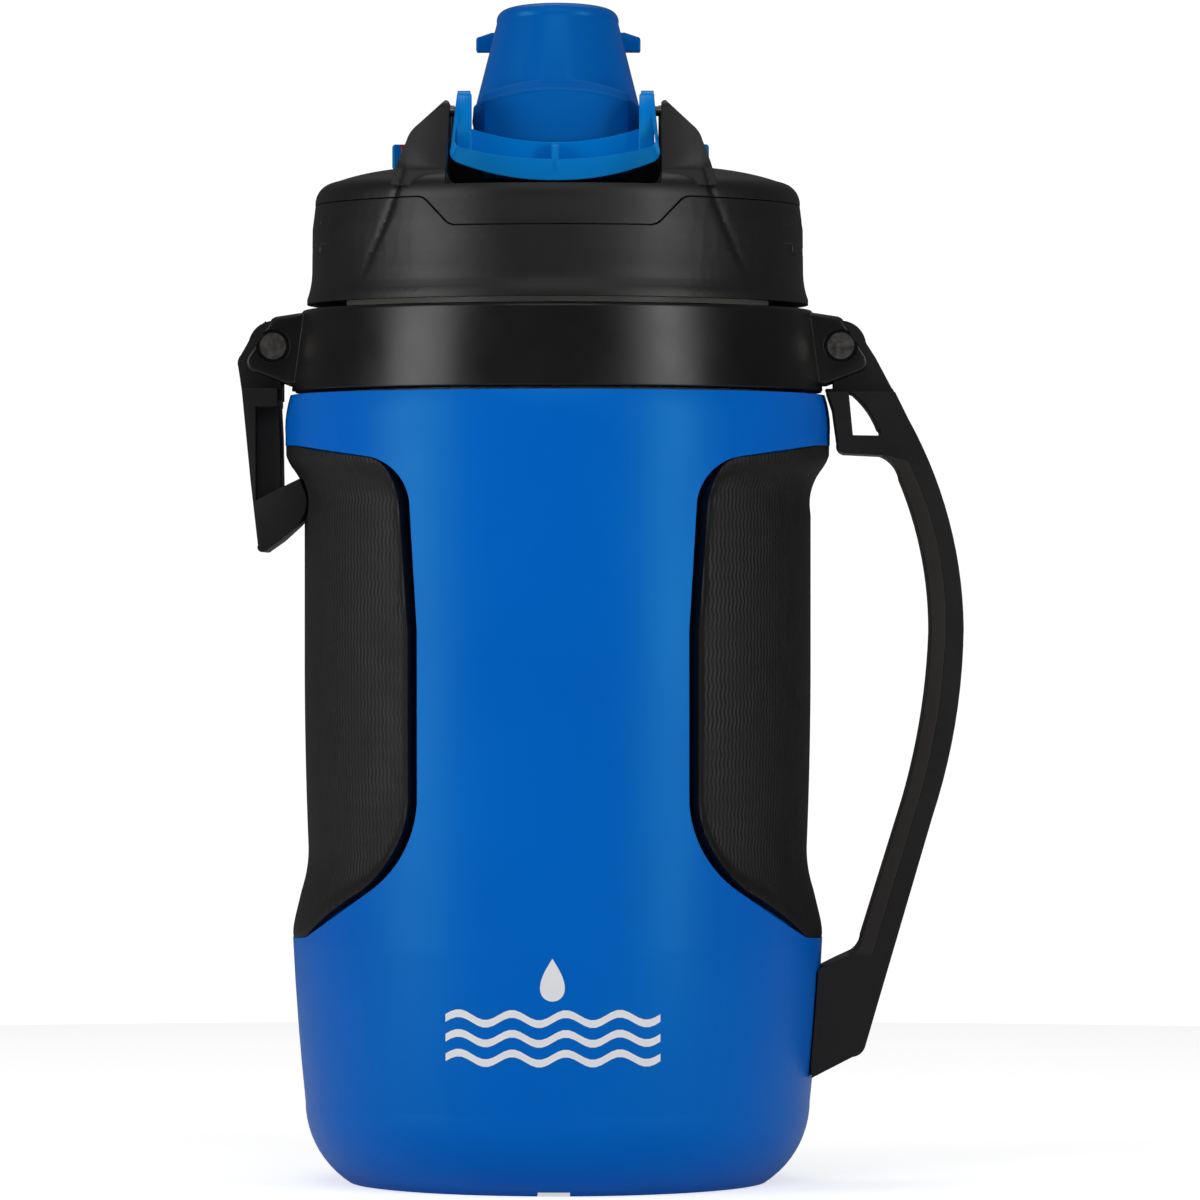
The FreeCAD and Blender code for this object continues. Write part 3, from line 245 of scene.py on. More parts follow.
def finish_nodes():
    """Every CAD node gets its material in all of its slots."""
    for material, names in NODE_FINISH.items():
        for name in names:
            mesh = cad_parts[name].data
            mesh.materials.clear()
            mesh.materials.append(material)


# ---------------------------------------------------------------- mesh tools (millimetres)

def arc_through(start, middle, end, count):
    """Points on the circular arc from start, which is left out, by way of middle to end."""
    (ax, ay), (bx, by), (cx, cy) = start, middle, end
    twice = 2 * (ax * (by - cy) + bx * (cy - ay) + cx * (ay - by))
    a, b, c = ax * ax + ay * ay, bx * bx + by * by, cx * cx + cy * cy
    x = (a * (by - cy) + b * (cy - ay) + c * (ay - by)) / twice
    y = (a * (cx - bx) + b * (ax - cx) + c * (bx - ax)) / twice
    radius = math.hypot(ax - x, ay - y)
    first = math.atan2(ay - y, ax - x)
    whole = 2 * math.pi
    sweep = (math.atan2(cy - y, cx - x) - first) % whole
    if (math.atan2(by - y, bx - x) - first) % whole > sweep:
        sweep -= whole
    return [(x + radius * math.cos(first + sweep * i / count),
             y + radius * math.sin(first + sweep * i / count)) for i in range(1, count + 1)]


def outline(steps, count=12):
    """Corners (u, v) joined by lines, or by an arc where a step is (mid u, mid v, u, v)."""
    points = [steps[0]]
    for step in steps[1:]:
        if len(step) == 2:
            points.append(step)
        else:
            points.extend(arc_through(points[-1], step[:2], step[2:], count))
    return points


def at_height(profile, height):
    """The profile's radius at a height. The profile's points (radius, height) rise."""
    for (low_r, low), (high_r, high) in zip(profile, profile[1:]):
        if height <= high:
            share = max(0, (height - low) / (high - low))
            return low_r + (high_r - low_r) * share
    return profile[-1][0]


def smooth_step(value):
    """Rises from 0 to 1 with level ends as the value does."""
    value = min(1, max(0, value))
    return value * value * (3 - 2 * value)


def shade(bm, crisp):
    """Smooth faces, with only the edges sharper than crisp degrees left hard."""
    for face in bm.faces:
        face.smooth = True
    for edge in bm.edges:
        edge.smooth = edge.is_manifold and edge.calc_face_angle(0) < math.radians(crisp)


def made(name, bm, crisp=32):
    """An object from a bmesh in millimetres. Edges sharper than crisp degrees are left hard."""
    bmesh.ops.recalc_face_normals(bm, faces=bm.faces)
    bmesh.ops.scale(bm, vec=(MM,) * 3, verts=bm.verts)
    shade(bm, crisp)
    mesh = bpy.data.meshes.new(name)
    bm.to_mesh(mesh)
    bm.free()
    if "custom_normal" in mesh.attributes:
        mesh.attributes.remove(mesh.attributes["custom_normal"])
    piece = bpy.data.objects.new(name, mesh)
    bpy.context.collection.objects.link(piece)
    return piece


def slice_at(bm, place, normal):
    """Splits the mesh's faces where a plane crosses them."""
    bmesh.ops.bisect_plane(bm, geom=bm.verts[:] + bm.edges[:] + bm.faces[:], plane_co=place,
                           plane_no=normal)


def prism(name, plane, steps, near, far):
    """An outline in XZ drawn along Y, or in YZ drawn along X."""
    bm = bmesh.new()
    place = (lambda u, v, w: (u, w, v)) if plane == "XZ" else (lambda u, v, w: (w, u, v))
    face = bm.faces.new([bm.verts.new(place(u, v, near)) for u, v in outline(steps)])
    moved = bmesh.ops.extrude_face_region(bm, geom=[face])["geom"]
    shift = Vector(place(0, 0, far - near))
    bmesh.ops.translate(bm, vec=shift, verts=[g for g in moved if isinstance(g, bmesh.types.BMVert)])
    return made(name, bm)


def turned(name, profile, count=160):
    """A closed profile (radius, height) turned about Z."""
    bm = bmesh.new()
    rings = []
    for radius, height in profile:
        if radius == 0:
            rings.append([bm.verts.new((0, 0, height))] * count)
        else:
            turn = [2 * math.pi * i / count for i in range(count)]
            rings.append([bm.verts.new((radius * math.cos(a), radius * math.sin(a), height)) for a in turn])
    for low, high in zip(rings, rings[1:]):
        for i in range(count):
            corners = [low[i], low[(i + 1) % count], high[(i + 1) % count], high[i]]
            unique = list(dict.fromkeys(corners))
            if len(unique) > 2:
                bm.faces.new(unique)
    return made(name, bm)


def settle(piece):
    """Writes a piece's modifiers into its mesh."""
    shape = piece.evaluated_get(bpy.context.evaluated_depsgraph_get())
    mesh = bpy.data.meshes.new_from_object(shape)
    piece.modifiers.clear()
    piece.data = mesh


def combine(piece, tool, operation):
    """Joins, cuts or intersects piece with tool, which is used up."""
    modifier = piece.modifiers.new("combine", "BOOLEAN")
    modifier.operation = operation
    modifier.solver = "EXACT"
    modifier.object = tool
    settle(piece)
    bpy.data.objects.remove(tool)


def gather(piece, *others):
    """Puts the others' surfaces into piece's mesh, uncut."""
    bm = bmesh.new()
    for part in (piece, *others):
        bm.from_mesh(part.data)
    bm.to_mesh(piece.data)
    bm.free()
    for part in others:
        bpy.data.objects.remove(part)


def round_edges(piece, width, angle=35, segments=3):
    """Rounds every edge sharper than the angle."""
    modifier = piece.modifiers.new("rounding", "BEVEL")
    modifier.width = width * MM
    modifier.segments = segments
    modifier.limit_method = "ANGLE"
    modifier.angle_limit = math.radians(angle)
    modifier.use_clamp_overlap = True
    modifier.harden_normals = True
    settle(piece)


def shading_by_angle(piece, crisp):
    """Leaves only the edges sharper than crisp degrees hard."""
    bm = bmesh.new()
    bm.from_mesh(piece.data)
    shade(bm, crisp)
    bm.to_mesh(piece.data)
    bm.free()


def weld(piece):
    """Closes a turned profile whose last point is its first."""
    bm = bmesh.new()
    bm.from_mesh(piece.data)
    bmesh.ops.remove_doubles(bm, verts=bm.verts, dist=1e-6)
    bmesh.ops.recalc_face_normals(bm, faces=bm.faces)
    bm.to_mesh(piece.data)
    bm.free()


def cad_copy(node):
    """The CAD node's surface as a bmesh, in millimetres, with its split vertices joined."""
    bm = bmesh.new()
    bm.from_mesh(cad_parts[node].data)
    bmesh.ops.scale(bm, vec=(1 / MM,) * 3, verts=bm.verts)
    bmesh.ops.remove_doubles(bm, verts=bm.verts, dist=0.001)
    return bm


def flat_faces_whole(bm):
    """Merges the triangles of each flat face."""
    bmesh.ops.dissolve_limit(bm, angle_limit=math.radians(0.4), verts=bm.verts, edges=bm.edges)


def finish_piece(piece, material, slot, body, *nodes):
    """The piece's material, the body it rides on and the CAD nodes it stands for."""
    piece.data.materials.clear()
    piece.data.materials.append(material)
    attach(piece, body)
    if nodes:
        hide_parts(*nodes)


# ---------------------------------------------------------------- side grips

SHELL_SIDE = outline([(63.45, 57.7), (64.6, 110, 65.3, 178.7), (65.1, 184, 64.1, 188.3)], 24)
WAIST = outline([(63.65, 50), (63.45, 58), (63.3, 61.3, 62.7, 64.4), (61.3, 70.2), (60.1, 75.2, 59.8, 81),
                 (60.5, 104, 60.7, 122), (60.7, 160), (61.3, 167, 63.3, 170.5),
                 (64.9, 173.5, 65.3, 176.5), (66.3, 186.5)], 16)
PAD_FRONT = outline([(66, 176.2), (62, 175.85), (43, 172.65), (36.75, 168.9, 33.55, 160.4), (31.85, 132),
                     (31.85, 92), (35.35, 80, 43.15, 71.35), (59.45, 59.45), (66, 58.15)], 14)
PAD_RADIUS = 61.5
PAD_BORDER = 4.2
PAD_STEP = 1.3
PAD_THICKNESS = 1.4
PAD_SUNK = 0.05


def pad_boundary():
    """The pad's outline as (arc length, height), front edge first and then its mirror at the back."""
    front = []
    for x, z in PAD_FRONT:
        reach = at_height(WAIST, z)
        front.append((PAD_RADIUS * math.asin(min(1, x / reach)), z))
    middle = PAD_RADIUS * math.pi / 2
    back = [(2 * middle - s, z) for s, z in reversed(front) if s < middle - 0.01]
    return [point for point in front if point[0] < middle - 0.01 or point in (front[0], front[-1])] + back


def distance_to(boundary, s, z):
    """How far a point of the pad lies from its outline."""
    nearest = 1e9
    for (as_, az), (bs, bz) in zip(boundary, boundary[1:] + boundary[:1]):
        ds, dz = bs - as_, bz - az
        share = ((s - as_) * ds + (z - az) * dz) / (ds * ds + dz * dz)
        share = min(1, max(0, share))
        nearest = min(nearest, math.hypot(s - as_ - share * ds, z - az - share * dz))
    return nearest


def side_grip(name, side):
    """A soft pad that fills the waist: its rim slopes from the shell down to the waist."""
    boundary = pad_boundary()
    bm = bmesh.new()
    bm.faces.new([bm.verts.new((s, z, 0)) for s, z in boundary])
    for axis in (0, 1):
        low = min(point[axis] for point in boundary)
        high = max(point[axis] for point in boundary)
        normal = (1, 0, 0) if axis == 0 else (0, 1, 0)
        for i in range(1, int((high - low) / PAD_STEP)):
            place = [0, 0, 0]
            place[axis] = low + i * PAD_STEP
            slice_at(bm, place, normal)
    raised = bmesh.ops.extrude_face_region(bm, geom=bm.faces[:])["geom"]
    outer = {g for g in raised if isinstance(g, bmesh.types.BMVert)}
    for vert in bm.verts:
        s, z, _ = vert.co
        waist = at_height(WAIST, z)
        if vert in outer:
            edge = at_height(SHELL_SIDE, z) - PAD_SUNK
            inward = smooth_step(distance_to(boundary, s, z) / PAD_BORDER)
            lip = 0.15 * smooth_step(1 - distance_to(boundary, s, z) / 0.5)
            radius = max(waist, edge) * (1 - inward) + waist * inward - lip
        else:
            radius = waist - PAD_THICKNESS
        turn = s / PAD_RADIUS
        vert.co = (side * radius * math.sin(turn), -radius * math.cos(turn), z)
    piece = made(name, bm)
    finish_piece(piece, SOFT, "soft_black", "jug", name)


# ---------------------------------------------------------------- collar, handle and hook

def softened(node, width, material, slot, body, wide=0, wanted=None):
    """The CAD node with its edges rounded: those that wanted(middle) picks by a wider radius."""
    bm = cad_copy(node)
    flat_faces_whole(bm)
    if wide:
        sharp = [edge for edge in bm.edges if edge.is_manifold and edge.calc_face_angle(0) > math.radians(50)
                 and wanted((edge.verts[0].co + edge.verts[1].co) / 2)]
        bmesh.ops.bevel(bm, geom=sharp, offset=wide, segments=6, profile=0.5, affect="EDGES",
                        clamp_overlap=True)
    piece = made(f"{node}_rounded", bm)
    round_edges(piece, width)
    finish_piece(piece, material, slot, body, node)


def grip_edge(middle):
    """The two long edges on the handle's inner side."""
    return abs(middle.y) > 12 and middle.x < at_height(HANDLE_INSIDE, middle.z) + 1 and 60 < middle.z < 171


HANDLE_INSIDE = outline([(72.7, 58.9), (81.6, 87.5), (87.1, 110.5, 89.2, 131.5), (87.4, 150.4, 82, 168.1),
                         (80.3, 171.8, 77.4, 173.8)], 12)


def hook_edge(middle):
    """The edges round the hook's barb and the bar beside it."""
    return middle.z < 166 and abs(middle.y) > 8


def neck_collar():
    """The ring under the lid, with a forked lug on each side."""
    ring = turned("collar", outline([
        (51.2, 205.6), (53.5, 205.6), (53.5, 189.1), (63.4, 189.1), (63.78, 189.2, 63.9, 189.6),
        (61.55, 207.2), (61.2, 208.4, 60.2, 208.6), (51.2, 208.6), (51.2, 205.6)], 6), 288)
    weld(ring)
    for side in (-1, 1):
        lug = prism("lug", "XZ", [(side * x, z) for x, z in (
            (56, 208.3), (58, 208.3), (67.1, 206.9), (68, 206.4), (73.8, 197.4), (74.15, 196.2),
            (73.9, 195.1), (72.8, 194), (64.6, 190.8), (56, 190.8))], -12, 12)
        slot = prism("slot", "XZ", [(side * x, z) for x, z in (
            (58.9, 180), (90, 180), (90, 215), (58.9, 215))], -7.8, 7.8)
        well = prism("well", "XZ", outline([
            (side * 67.7, 195.9), (side * 71.7, 199.9, side * 67.7, 203.9),
            (side * 63.7, 199.9, side * 67.71, 195.9)], 20)[:-1], -13, 13)
        web = prism("web", "XZ", [(side * x, z) for x, z in (
            (60, 190), (75, 190), (75, 210), (60, 210))], -11, 11)
        combine(well, web, "DIFFERENCE")
        round_edges(lug, 0.7, 35)
        combine(ring, lug, "UNION")
        combine(ring, slot, "DIFFERENCE")
        combine(ring, well, "DIFFERENCE")
    shading_by_angle(ring, 30)
    ring.name = "neck_collar_shaped"
    finish_piece(ring, BLACK_COLLAR, "black_plastic", "jug", "neck_collar")


# ---------------------------------------------------------------- lid

def column_edge(z):
    """How far from the middle the raised front of the lid ends at a height."""
    return 35.2 + 9.2 * (max(0, 241.3 - z) / 24.3) ** 1.3


def raise_front(bm):
    """Raises the middle of the lid's front between two slanting grooves that fade downwards."""
    for side in (-1, 1):
        for i in range(30):
            slice_at(bm, (side * (32 + 0.55 * i), 0, 0), (1, 0, 0))
    for i in range(17):
        slice_at(bm, (0, 0, 212.5 + 1.7 * i), (0, 0, 1))
    for vert in bm.verts:
        x, y, z = vert.co
        reach = math.hypot(x, y)
        if y < 0 and 211 < z < 242.3 and reach > 46 and reach > at_height(LID_INSIDE, z):
            fade = smooth_step((z - 214) / 8) * smooth_step((242 - z) / 2)
            off_edge = abs(x) - column_edge(z)
            proud = 0.75 * smooth_step((0.8 - off_edge) / 1.8) - 0.5 * math.exp(-(off_edge / 0.9) ** 2)
            vert.co.x += fade * proud * x / reach
            vert.co.y += fade * proud * y / reach


LID_INSIDE = [(58.6, 210), (58.0, 217), (57.9, 228), (57.2, 233.5), (55, 237.5), (51.5, 239), (47, 240.3),
              (41.5, 241.4)]


def side_notches():
    """What is cut from the lid's sides: two rows of short shallow notches on each side."""
    bm = bmesh.new()
    for centre in (0, 180):
        for step in range(-2, 3):
            for low, high in ((221.9, 223.7), (228.5, 230.2)):
                around = Matrix.Rotation(math.radians(centre + 10 * step), 4, "Z")
                middle = Matrix.Translation((60.5, 0, (low + high) / 2))
                size = Matrix.Diagonal((4, 6, high - low, 1))
                bmesh.ops.create_cube(bm, size=1, matrix=around @ middle @ size)
    return made("side_notches", bm)


def bay_lining():
    """The draft of the horns' inner faces behind the trigger, and fillets along the bay's floor."""
    pieces = []
    for side in (-1, 1):
        pieces.append(prism(f"draft{side}", "YZ", [
            (-17, 236.2), (-17, 256.9), (-11, 256), (24, 252.4), (24, 236.2)],
            *sorted((24.25 * side, 25.2 * side))))
        pieces.append(prism(f"fillet{side}", "XZ", [
            (side * 25.3, 236.2), (side * 25.3, 239.4), (side * 25, 239.4),
            (side * 24.1, 237.3, side * 22, 236.4), (side * 22, 236.2)], -46, 30))
    return pieces


def lid_part(node, notched=False, extra=()):
    """A node of the lid with its raised front, and notches or extra surfaces where they are asked for."""
    bm = cad_copy(node)
    raise_front(bm)
    piece = made(f"{node}_shaped", bm, crisp=28)
    if notched:
        combine(piece, side_notches(), "DIFFERENCE")
    if extra:
        gather(piece, *extra)
    finish_piece(piece, BLACK, "black_plastic", "lid", node)


# ---------------------------------------------------------------- spout cover

TILT = math.radians(5.3)
SPOUT_FOOT = Vector((0, -3, 250))


def lean(piece):
    """Leans a piece made round Z back onto the spout's axis."""
    piece.data.transform(Matrix.Translation(SPOUT_FOOT * MM) @ Matrix.Rotation(-TILT, 4, "X"))
    return piece


def lens_front(x, z):
    """How far forward the apron's face stands: a shallow barrel whose sides fall away."""
    across = abs(x) / 20
    return -24.4 + 0.17 * (z - 248) + 3.6 * across ** 2.2 + 2.2 * smooth_step((across - 0.82) / 0.2)


def brow_front(x, z):
    """The sloping band over the apron: it runs back from the apron's top edge to the cone."""
    top = 260.85 - 3.3 * (x / 18.4) ** 2
    return lens_front(x, top) + 0.25 + 0.75 * (z - top)


def faced_block(name, steps, front, back):
    """An outline in XZ with a curved front face: front(x, z) gives its place along Y."""
    points = outline(steps, 16)
    bm = bmesh.new()
    bm.faces.new([bm.verts.new((x, 0, z)) for x, z in points])
    step = 1.0
    for axis, normal in ((0, (1, 0, 0)), (1, (0, 0, 1))):
        low = min(point[axis] for point in points)
        high = max(point[axis] for point in points)
        for i in range(1, int((high - low) / step)):
            slice_at(bm, Vector(normal) * (low + i * step), normal)
    raised = bmesh.ops.extrude_face_region(bm, geom=bm.faces[:])["geom"]
    faces = {g for g in raised if isinstance(g, bmesh.types.BMVert)}
    for vert in bm.verts:
        vert.co.y = front(vert.co.x, vert.co.z) if vert in faces else back
    return made(name, bm)


def spout_cover():
    """The hollow cone with its apron, brow, finger wings, hinge barrel and tail."""
    cone = lean(turned("cone", outline([
        (0, -5), (20.2, -5), (20.2, 5.2), (14.6, 27.6), (14.15, 29.7, 12.2, 30.7), (7, 31.35, 0, 31.5)], 10)))
    inside = lean(turned("cone_inside", outline([
        (0, -20), (18.2, -20), (18.2, 5), (12.6, 27.4), (12, 29, 10.4, 29.5), (0, 29.5)], 8)))
    apron = faced_block("apron", [
        (-19.9, 253.6), (-19.4, 251.2, -17.9, 250.1), (0, 247.5, 17.9, 250.1), (19.4, 251.2, 19.9, 253.6),
        (19.7, 256.4), (18.4, 257.6, 16.2, 258.2), (0, 260.9, -16.2, 258.2), (-18.4, 257.6, -19.7, 256.4)],
        lens_front, -2)
    brow = faced_block("brow", [
        (-18.3, 257), (-17.3, 259.5), (0, 262.95, 17.3, 259.5), (18.3, 257), (0, 260.2, -18.2, 256.9)],
        brow_front, -2)
    round_edges(apron, 0.45, 50)
    wings = prism("wings", "XZ", [
        (-19.8, 272), (-19.6, 271.4, -19, 271.3), (19, 271.3), (19.6, 271.4, 19.8, 272), (19.8, 274),
        (19.6, 274.7, 19, 275), (16, 276), (-16, 276), (-19, 275), (-19.6, 274.7, -19.8, 274)], 6.5, 10.5)
    round_edges(wings, 0.6, 40)
    barrel = prism("barrel", "YZ", [(18.6, 246), (22.5, 249.9, 26.4, 246), (22.5, 242.1, 18.6, 246.01)],
                   -12.5, 12.5)
    neck = prism("neck", "YZ", [(10, 243), (22.5, 243), (22.5, 249), (10, 249)], -10.5, 10.5)
    tail = prism("tail", "YZ", [(20.5, 246), (25, 246), (25, 250.8), (29.3, 250.8), (29.3, 252.2),
                                (20.5, 252.2)], -7.2, -2.8)
    for part in (apron, brow, wings, barrel, neck, tail):
        combine(cone, part, "UNION")
    combine(cone, inside, "DIFFERENCE")
    slot = prism("slot", "YZ", [(-22.6, 249.2), (-15, 249.2), (-15, 252.3), (-22.6, 252.3)], -6.5, 6.5)
    combine(cone, slot, "DIFFERENCE")
    bore = prism("bore", "YZ", [(20.84, 246), (22.5, 247.66, 24.16, 246), (22.5, 244.34, 20.84, 246.01)],
                 -30, 30)
    combine(cone, bore, "DIFFERENCE")
    shading_by_angle(cone, 18)
    cone.name = "spout_cover_shaped"
    finish_piece(cone, BLUE_GLOSS, "blue_gloss", "spout_cover", "spout_cover")


# ---------------------------------------------------------------- release trigger

def trigger_front(z):
    """Where the front of the trigger's arms stands at a height: they lean back as they rise."""
    lean_line = [(-33.6, 236), (-33.6, 245), (-30.6, 254), (-28.2, 257.8), (-26.4, 259.4), (-25.2, 260)]
    return at_height(lean_line, z)


def loop(top, arm_end, corner, middle):
    """One line of the U-shaped rim, left arm, bottom and right arm, as points (x, z)."""
    arm = [(top[0] + (arm_end[0] - top[0]) * i / 10, top[1] + (arm_end[1] - top[1]) * i / 10)
           for i in range(11)]
    left = arm + arc_through(arm[-1], corner[:2], corner[2:], 8)
    left += arc_through(left[-1], middle[:2], middle[2:], 14)
    return left + [(-x, z) for x, z in reversed(left[:-1])]


def trigger_rim():
    """The rim's section runs: outside, front, inside, and a flat back. It is a thin wall round a tray."""
    outside = loop((-23.2, 259.9), (-24.6, 246), (-24.5, 243.7, -23, 242.4), (-11.2, 239.1, 0, 238.25))
    crest = loop((-22.8, 259.8), (-24, 247.6), (-23.7, 246.3, -22.4, 245.5), (-11.1, 243.4, 0, 242.8))
    inside = loop((-22.4, 259.7), (-23.6, 247.8), (-23.3, 246.7, -22.2, 246), (-11, 243.9, 0, 243.3))
    bm = bmesh.new()
    rings = []
    for (ox, oz), (cx, cz), (ix, iz) in zip(outside, crest, inside):
        back = -26.6 + 3.6 * smooth_step((oz - 246) / 6)
        lean_back = 0.9 * smooth_step((246.5 - oz) / 4)
        ring = [(ox, back, oz), (ox, trigger_front(oz), oz), (cx, trigger_front(cz) + lean_back, cz),
                (ix, trigger_front(iz) + lean_back + 0.1, iz), (ix, back, iz)]
        rings.append([bm.verts.new(corner) for corner in ring])
    for low, high in zip(rings, rings[1:]):
        for i in range(5):
            bm.faces.new([low[i], low[(i + 1) % 5], high[(i + 1) % 5], high[i]])
    bm.faces.new(rings[0])
    bm.faces.new(rings[-1])
    return made("trigger_rim", bm, crisp=24)


def release_trigger():
    """The rim with the web, rib and arms in it, and the latch post behind."""
    rim = trigger_rim()
    web = prism("web", "XZ", [
        (-21.4, 242.5), (0, 239.2, 21.4, 242.5), (20.6, 250.9), (0, 247.5, -20.6, 250.9)], -28.6, -27)
    arms = []
    eyes = []
    for side in (-1, 1):
        arms.append(prism("arm", "YZ", [
            (-26.6, 244.6), (-26.6, 259.2), (-28.2, 257.8), (-30.4, 253.6), (-31.6, 249.6), (-31.4, 245.4),
            (-30.6, 244.6)], *sorted((19.8 * side, 23.4 * side))))
        round_edges(arms[-1], 0.3, 30)
        eyes.append(prism("eye", "YZ", [
            (-28.8, 250), (-22.6, 250), (-22.2, 258.9), (-24.6, 259.9, -27, 259.1)],
            *sorted((20.2 * side, 23.2 * side))))
    rib = prism("rib", "YZ", [(-33, 240.5), (-27.5, 240.5), (-27.5, 247.1), (-30.4, 246.9),
                              (-31.6, 246.6, -32.2, 245.4), (-33, 242.7)], -0.8, 0.8)
    round_edges(rib, 0.2, 30)
    floor = prism("shelf", "XZ", [(-17, 239.9), (17, 239.9), (17, 241.6), (-17, 241.6)], -29, -19)
    plate = prism("plate", "XZ", [(-17, 239.4), (17, 239.4), (17, 244.4), (-17, 244.4)], -20.6, -19)
    post = prism("post", "YZ", [(-20.4, 241), (-19, 241), (-19, 251.2), (-21.8, 251.2), (-21.8, 249.7),
                                (-20.4, 249.7)], -4, 4)
    gather(rim, web, rib, floor, plate, post, *arms, *eyes)
    shading_by_angle(rim, 24)
    rim.name = "release_trigger_shaped"
    # The trigger wears the brighter blue: painted highlight.
    finish_piece(rim, BLUE_PAINTED_LIT, "blue_gloss", "release_trigger", "release_trigger")


# ---------------------------------------------------------------- lock bolt

BOLT_END = -35
BOLT_REACH = 1.3


def bolt_part(node, material, slot):
    """The bolt's left end stands a little further out than on the CAD node, so its red band shows."""
    bm = cad_copy(node)
    for vert in bm.verts:
        if vert.co.x < BOLT_END:
            vert.co.x -= BOLT_REACH
    finish_piece(made(f"{node}_shaped", bm), material, slot, "lock_slider", node)


# ---------------------------------------------------------------- mark

SHELL_LOW = outline([(60.5, 19.3), (62.1, 36.6, 63.45, 57.7)], 16)


def on_shell(x, z):
    """The place on the shell's front at x and z, a hair's breadth off its surface."""
    reach = at_height(SHELL_LOW, z) + 0.08
    return (x, -math.sqrt(reach * reach - x * x), z)


def front_mark():
    """A plain water drop over three short waves, printed low on the front."""
    bm = bmesh.new()
    for low in (32, 36.6, 41.2):
        edges = []
        for i in range(41):
            x = -25 + 50 * i / 40
            z = low + 1.2 * math.sin(2 * math.pi * x / 12.5)
            edges.append((bm.verts.new(on_shell(x, z)), bm.verts.new(on_shell(x, z + 1.8))))
        for (a_low, a_high), (b_low, b_high) in zip(edges, edges[1:]):
            bm.faces.new([a_low, b_low, b_high, a_high])
    middle = bm.verts.new(on_shell(0, 49.5))
    rim = []
    for i in range(48):
        turn = 2 * math.pi * i / 48
        width = 3.9 * math.sin(turn) * math.sin(turn / 2) ** 1.2
        rim.append(bm.verts.new(on_shell(width, 51.2 + 5 * math.cos(turn))))
    for first, second in zip(rim, rim[1:] + rim[:1]):
        bm.faces.new([middle, first, second])
    finish_piece(made("front_mark", bm), WHITE, None, "jug")


# ---------------------------------------------------------------- studio

def soft_box(name, azimuth, height, distance, width, tall, power):
    """A lamp turned to the jug. Azimuth 0 is the front, and grows to the jug's left (+X)."""
    lamp = bpy.data.lights.new(name, "AREA")
    lamp.shape = "RECTANGLE"
    lamp.size = width
    lamp.size_y = tall
    lamp.energy = power
    holder = bpy.data.objects.new(name, lamp)
    bpy.context.collection.objects.link(holder)
    turn = math.radians(azimuth)
    holder.location = (distance * math.sin(turn), -distance * math.cos(turn), height)
    aim = Vector((0, 0, 0.14)) - holder.location
    holder.rotation_euler = aim.to_track_quat("-Z", "Y").to_euler()


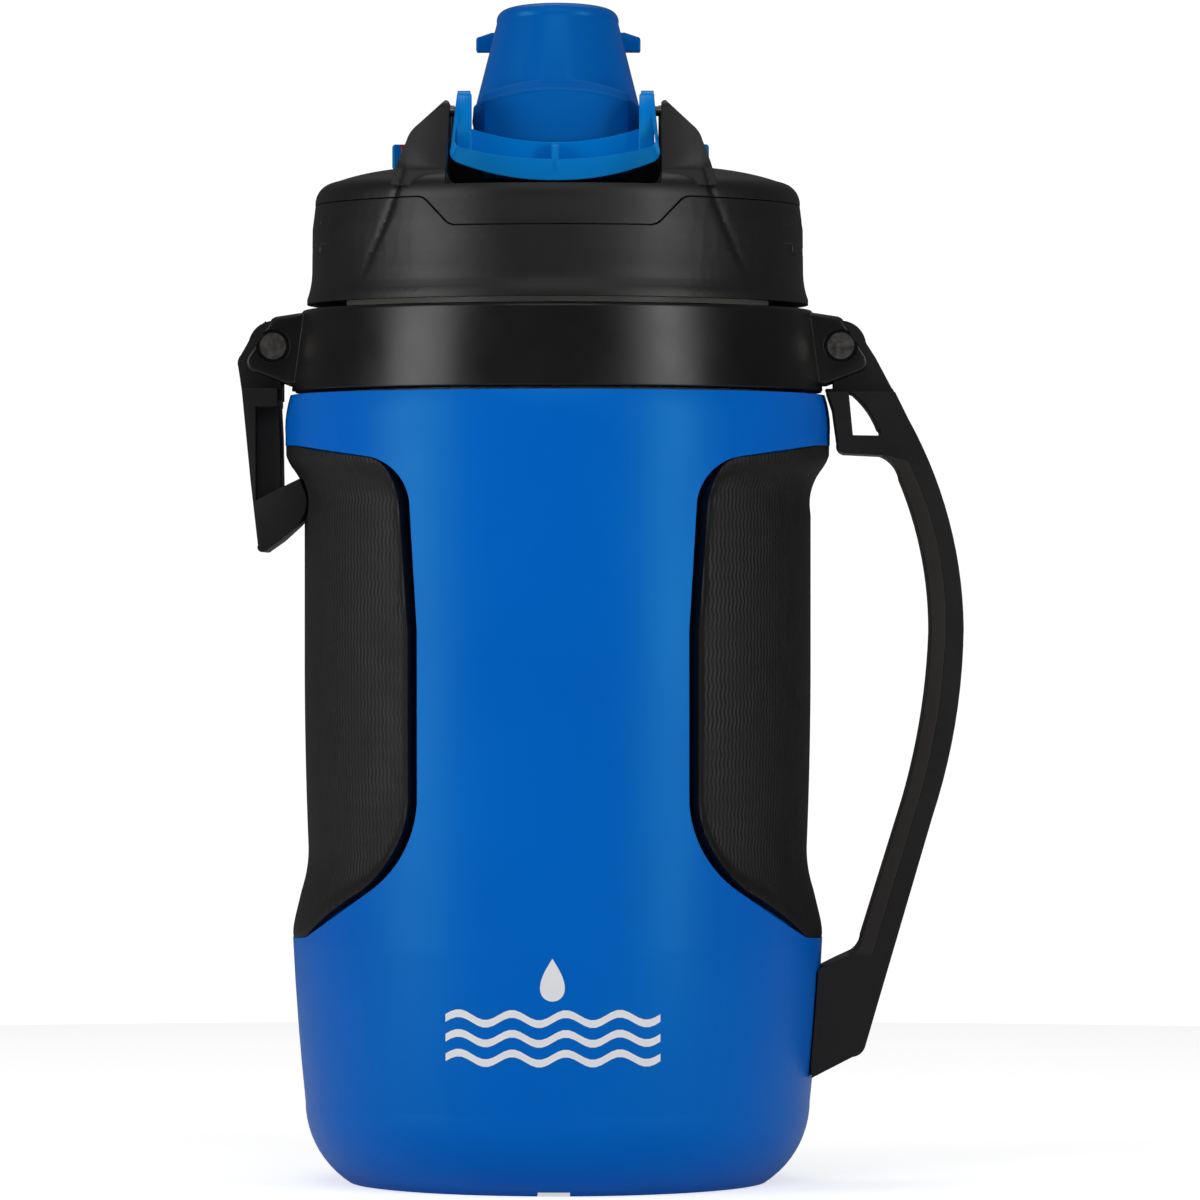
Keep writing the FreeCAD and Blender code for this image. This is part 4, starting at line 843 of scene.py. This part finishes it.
def studio():
    """Pale floor, white surroundings, two tall soft boxes at the sides and two lamps above."""
    reach = 0.7
    rim = [(reach * math.cos(math.pi * i / 60), reach * math.sin(math.pi * i / 60), 0) for i in range(120)]
    mesh = bpy.data.meshes.new("floor")
    mesh.from_pydata(rim, [], [range(120)])
    floor = bpy.data.objects.new("floor", mesh)
    bpy.context.collection.objects.link(floor)
    paper = Nodes("paper")
    tone = paper.ramp(paper.noise(6, 3), "Fac", 0, 1)
    paper.link(paper.mix_colour(tone, (0.86, 0.86, 0.86, 1), (0.83, 0.83, 0.83, 1)), 2, paper.shader,
               "Base Color")
    paper.shader.inputs["Roughness"].default_value = 0.9
    paper.shader.inputs["Emission Color"].default_value = (1, 1, 1, 1)
    sight = paper.add("ShaderNodeLightPath")
    glow = paper.add("ShaderNodeMath", operation="MULTIPLY")
    glow.inputs[1].default_value = 0.62
    paper.link(sight, "Is Camera Ray", glow, 0)
    paper.link(glow, 0, paper.shader, "Emission Strength")
    mesh.materials.append(paper.material)

    world = bpy.data.worlds.new("studio")
    bpy.context.scene.world = world
    world.use_nodes = True
    tree = world.node_tree
    tree.nodes.clear()
    output = tree.nodes.new("ShaderNodeOutputWorld")
    seen = tree.nodes.new("ShaderNodeBackground")
    seen.inputs["Strength"].default_value = 1.05
    lit = tree.nodes.new("ShaderNodeBackground")
    lit.inputs["Color"].default_value = (1, 1, 1, 1)
    lit.inputs["Strength"].default_value = 0.1
    seen.inputs["Color"].default_value = (1, 1, 1, 1)
    path = tree.nodes.new("ShaderNodeLightPath")
    mix = tree.nodes.new("ShaderNodeMixShader")
    tree.links.new(path.outputs["Is Camera Ray"], mix.inputs[0])
    tree.links.new(lit.outputs[0], mix.inputs[1])
    tree.links.new(seen.outputs[0], mix.inputs[2])
    tree.links.new(mix.outputs[0], output.inputs[0])

    soft_box("key_left", -60, 0.2, 1.1, 0.5, 1.1, 9)
    soft_box("key_right", 49, 0.2, 1.1, 0.32, 1.1, 7.5)
    soft_box("front_high", 0, 1.15, 1.1, 0.9, 0.6, 4)
    soft_box("top", 180, 1.2, 0.35, 0.9, 0.7, 3)
    bpy.context.scene.view_settings.view_transform = "Standard"


def camera():
    """At the photograph's distance and height, so that the perspective is the same."""
    turn = math.radians(0.8)
    seen_from = Vector((10.15, -1848, 139.3)) * MM
    data = bpy.data.cameras.new("camera")
    data.sensor_width = 36
    data.lens = 231
    data.clip_end = 50
    holder = bpy.data.objects.new("camera", data)
    bpy.context.collection.objects.link(holder)
    holder.location = Matrix.Rotation(turn, 3, "Z") @ seen_from
    holder.rotation_euler = (math.pi / 2, 0, turn)
    bpy.context.scene.camera = holder


finish_nodes()
side_grip("right_grip", 1)
side_grip("left_grip", -1)
softened("handle_frame", 0.8, BLACK, "black_plastic", "handle")
softened("handle_grip", 0.5, GRIP_BROWN, "soft_black", "handle", 3, grip_edge)
softened("fence_hook", 0.7, BLACK, "black_plastic", "fence_hook", 1.8, hook_edge)
neck_collar()
lid_part("lid_skirt", notched=True)
lid_part("lid_cover", extra=bay_lining())
spout_cover()
release_trigger()
bolt_part("lock_slider", BLUE_GLOSS, "blue_gloss")
bolt_part("lock_indicator", RED, "red_plastic")
front_mark()
studio()
camera()
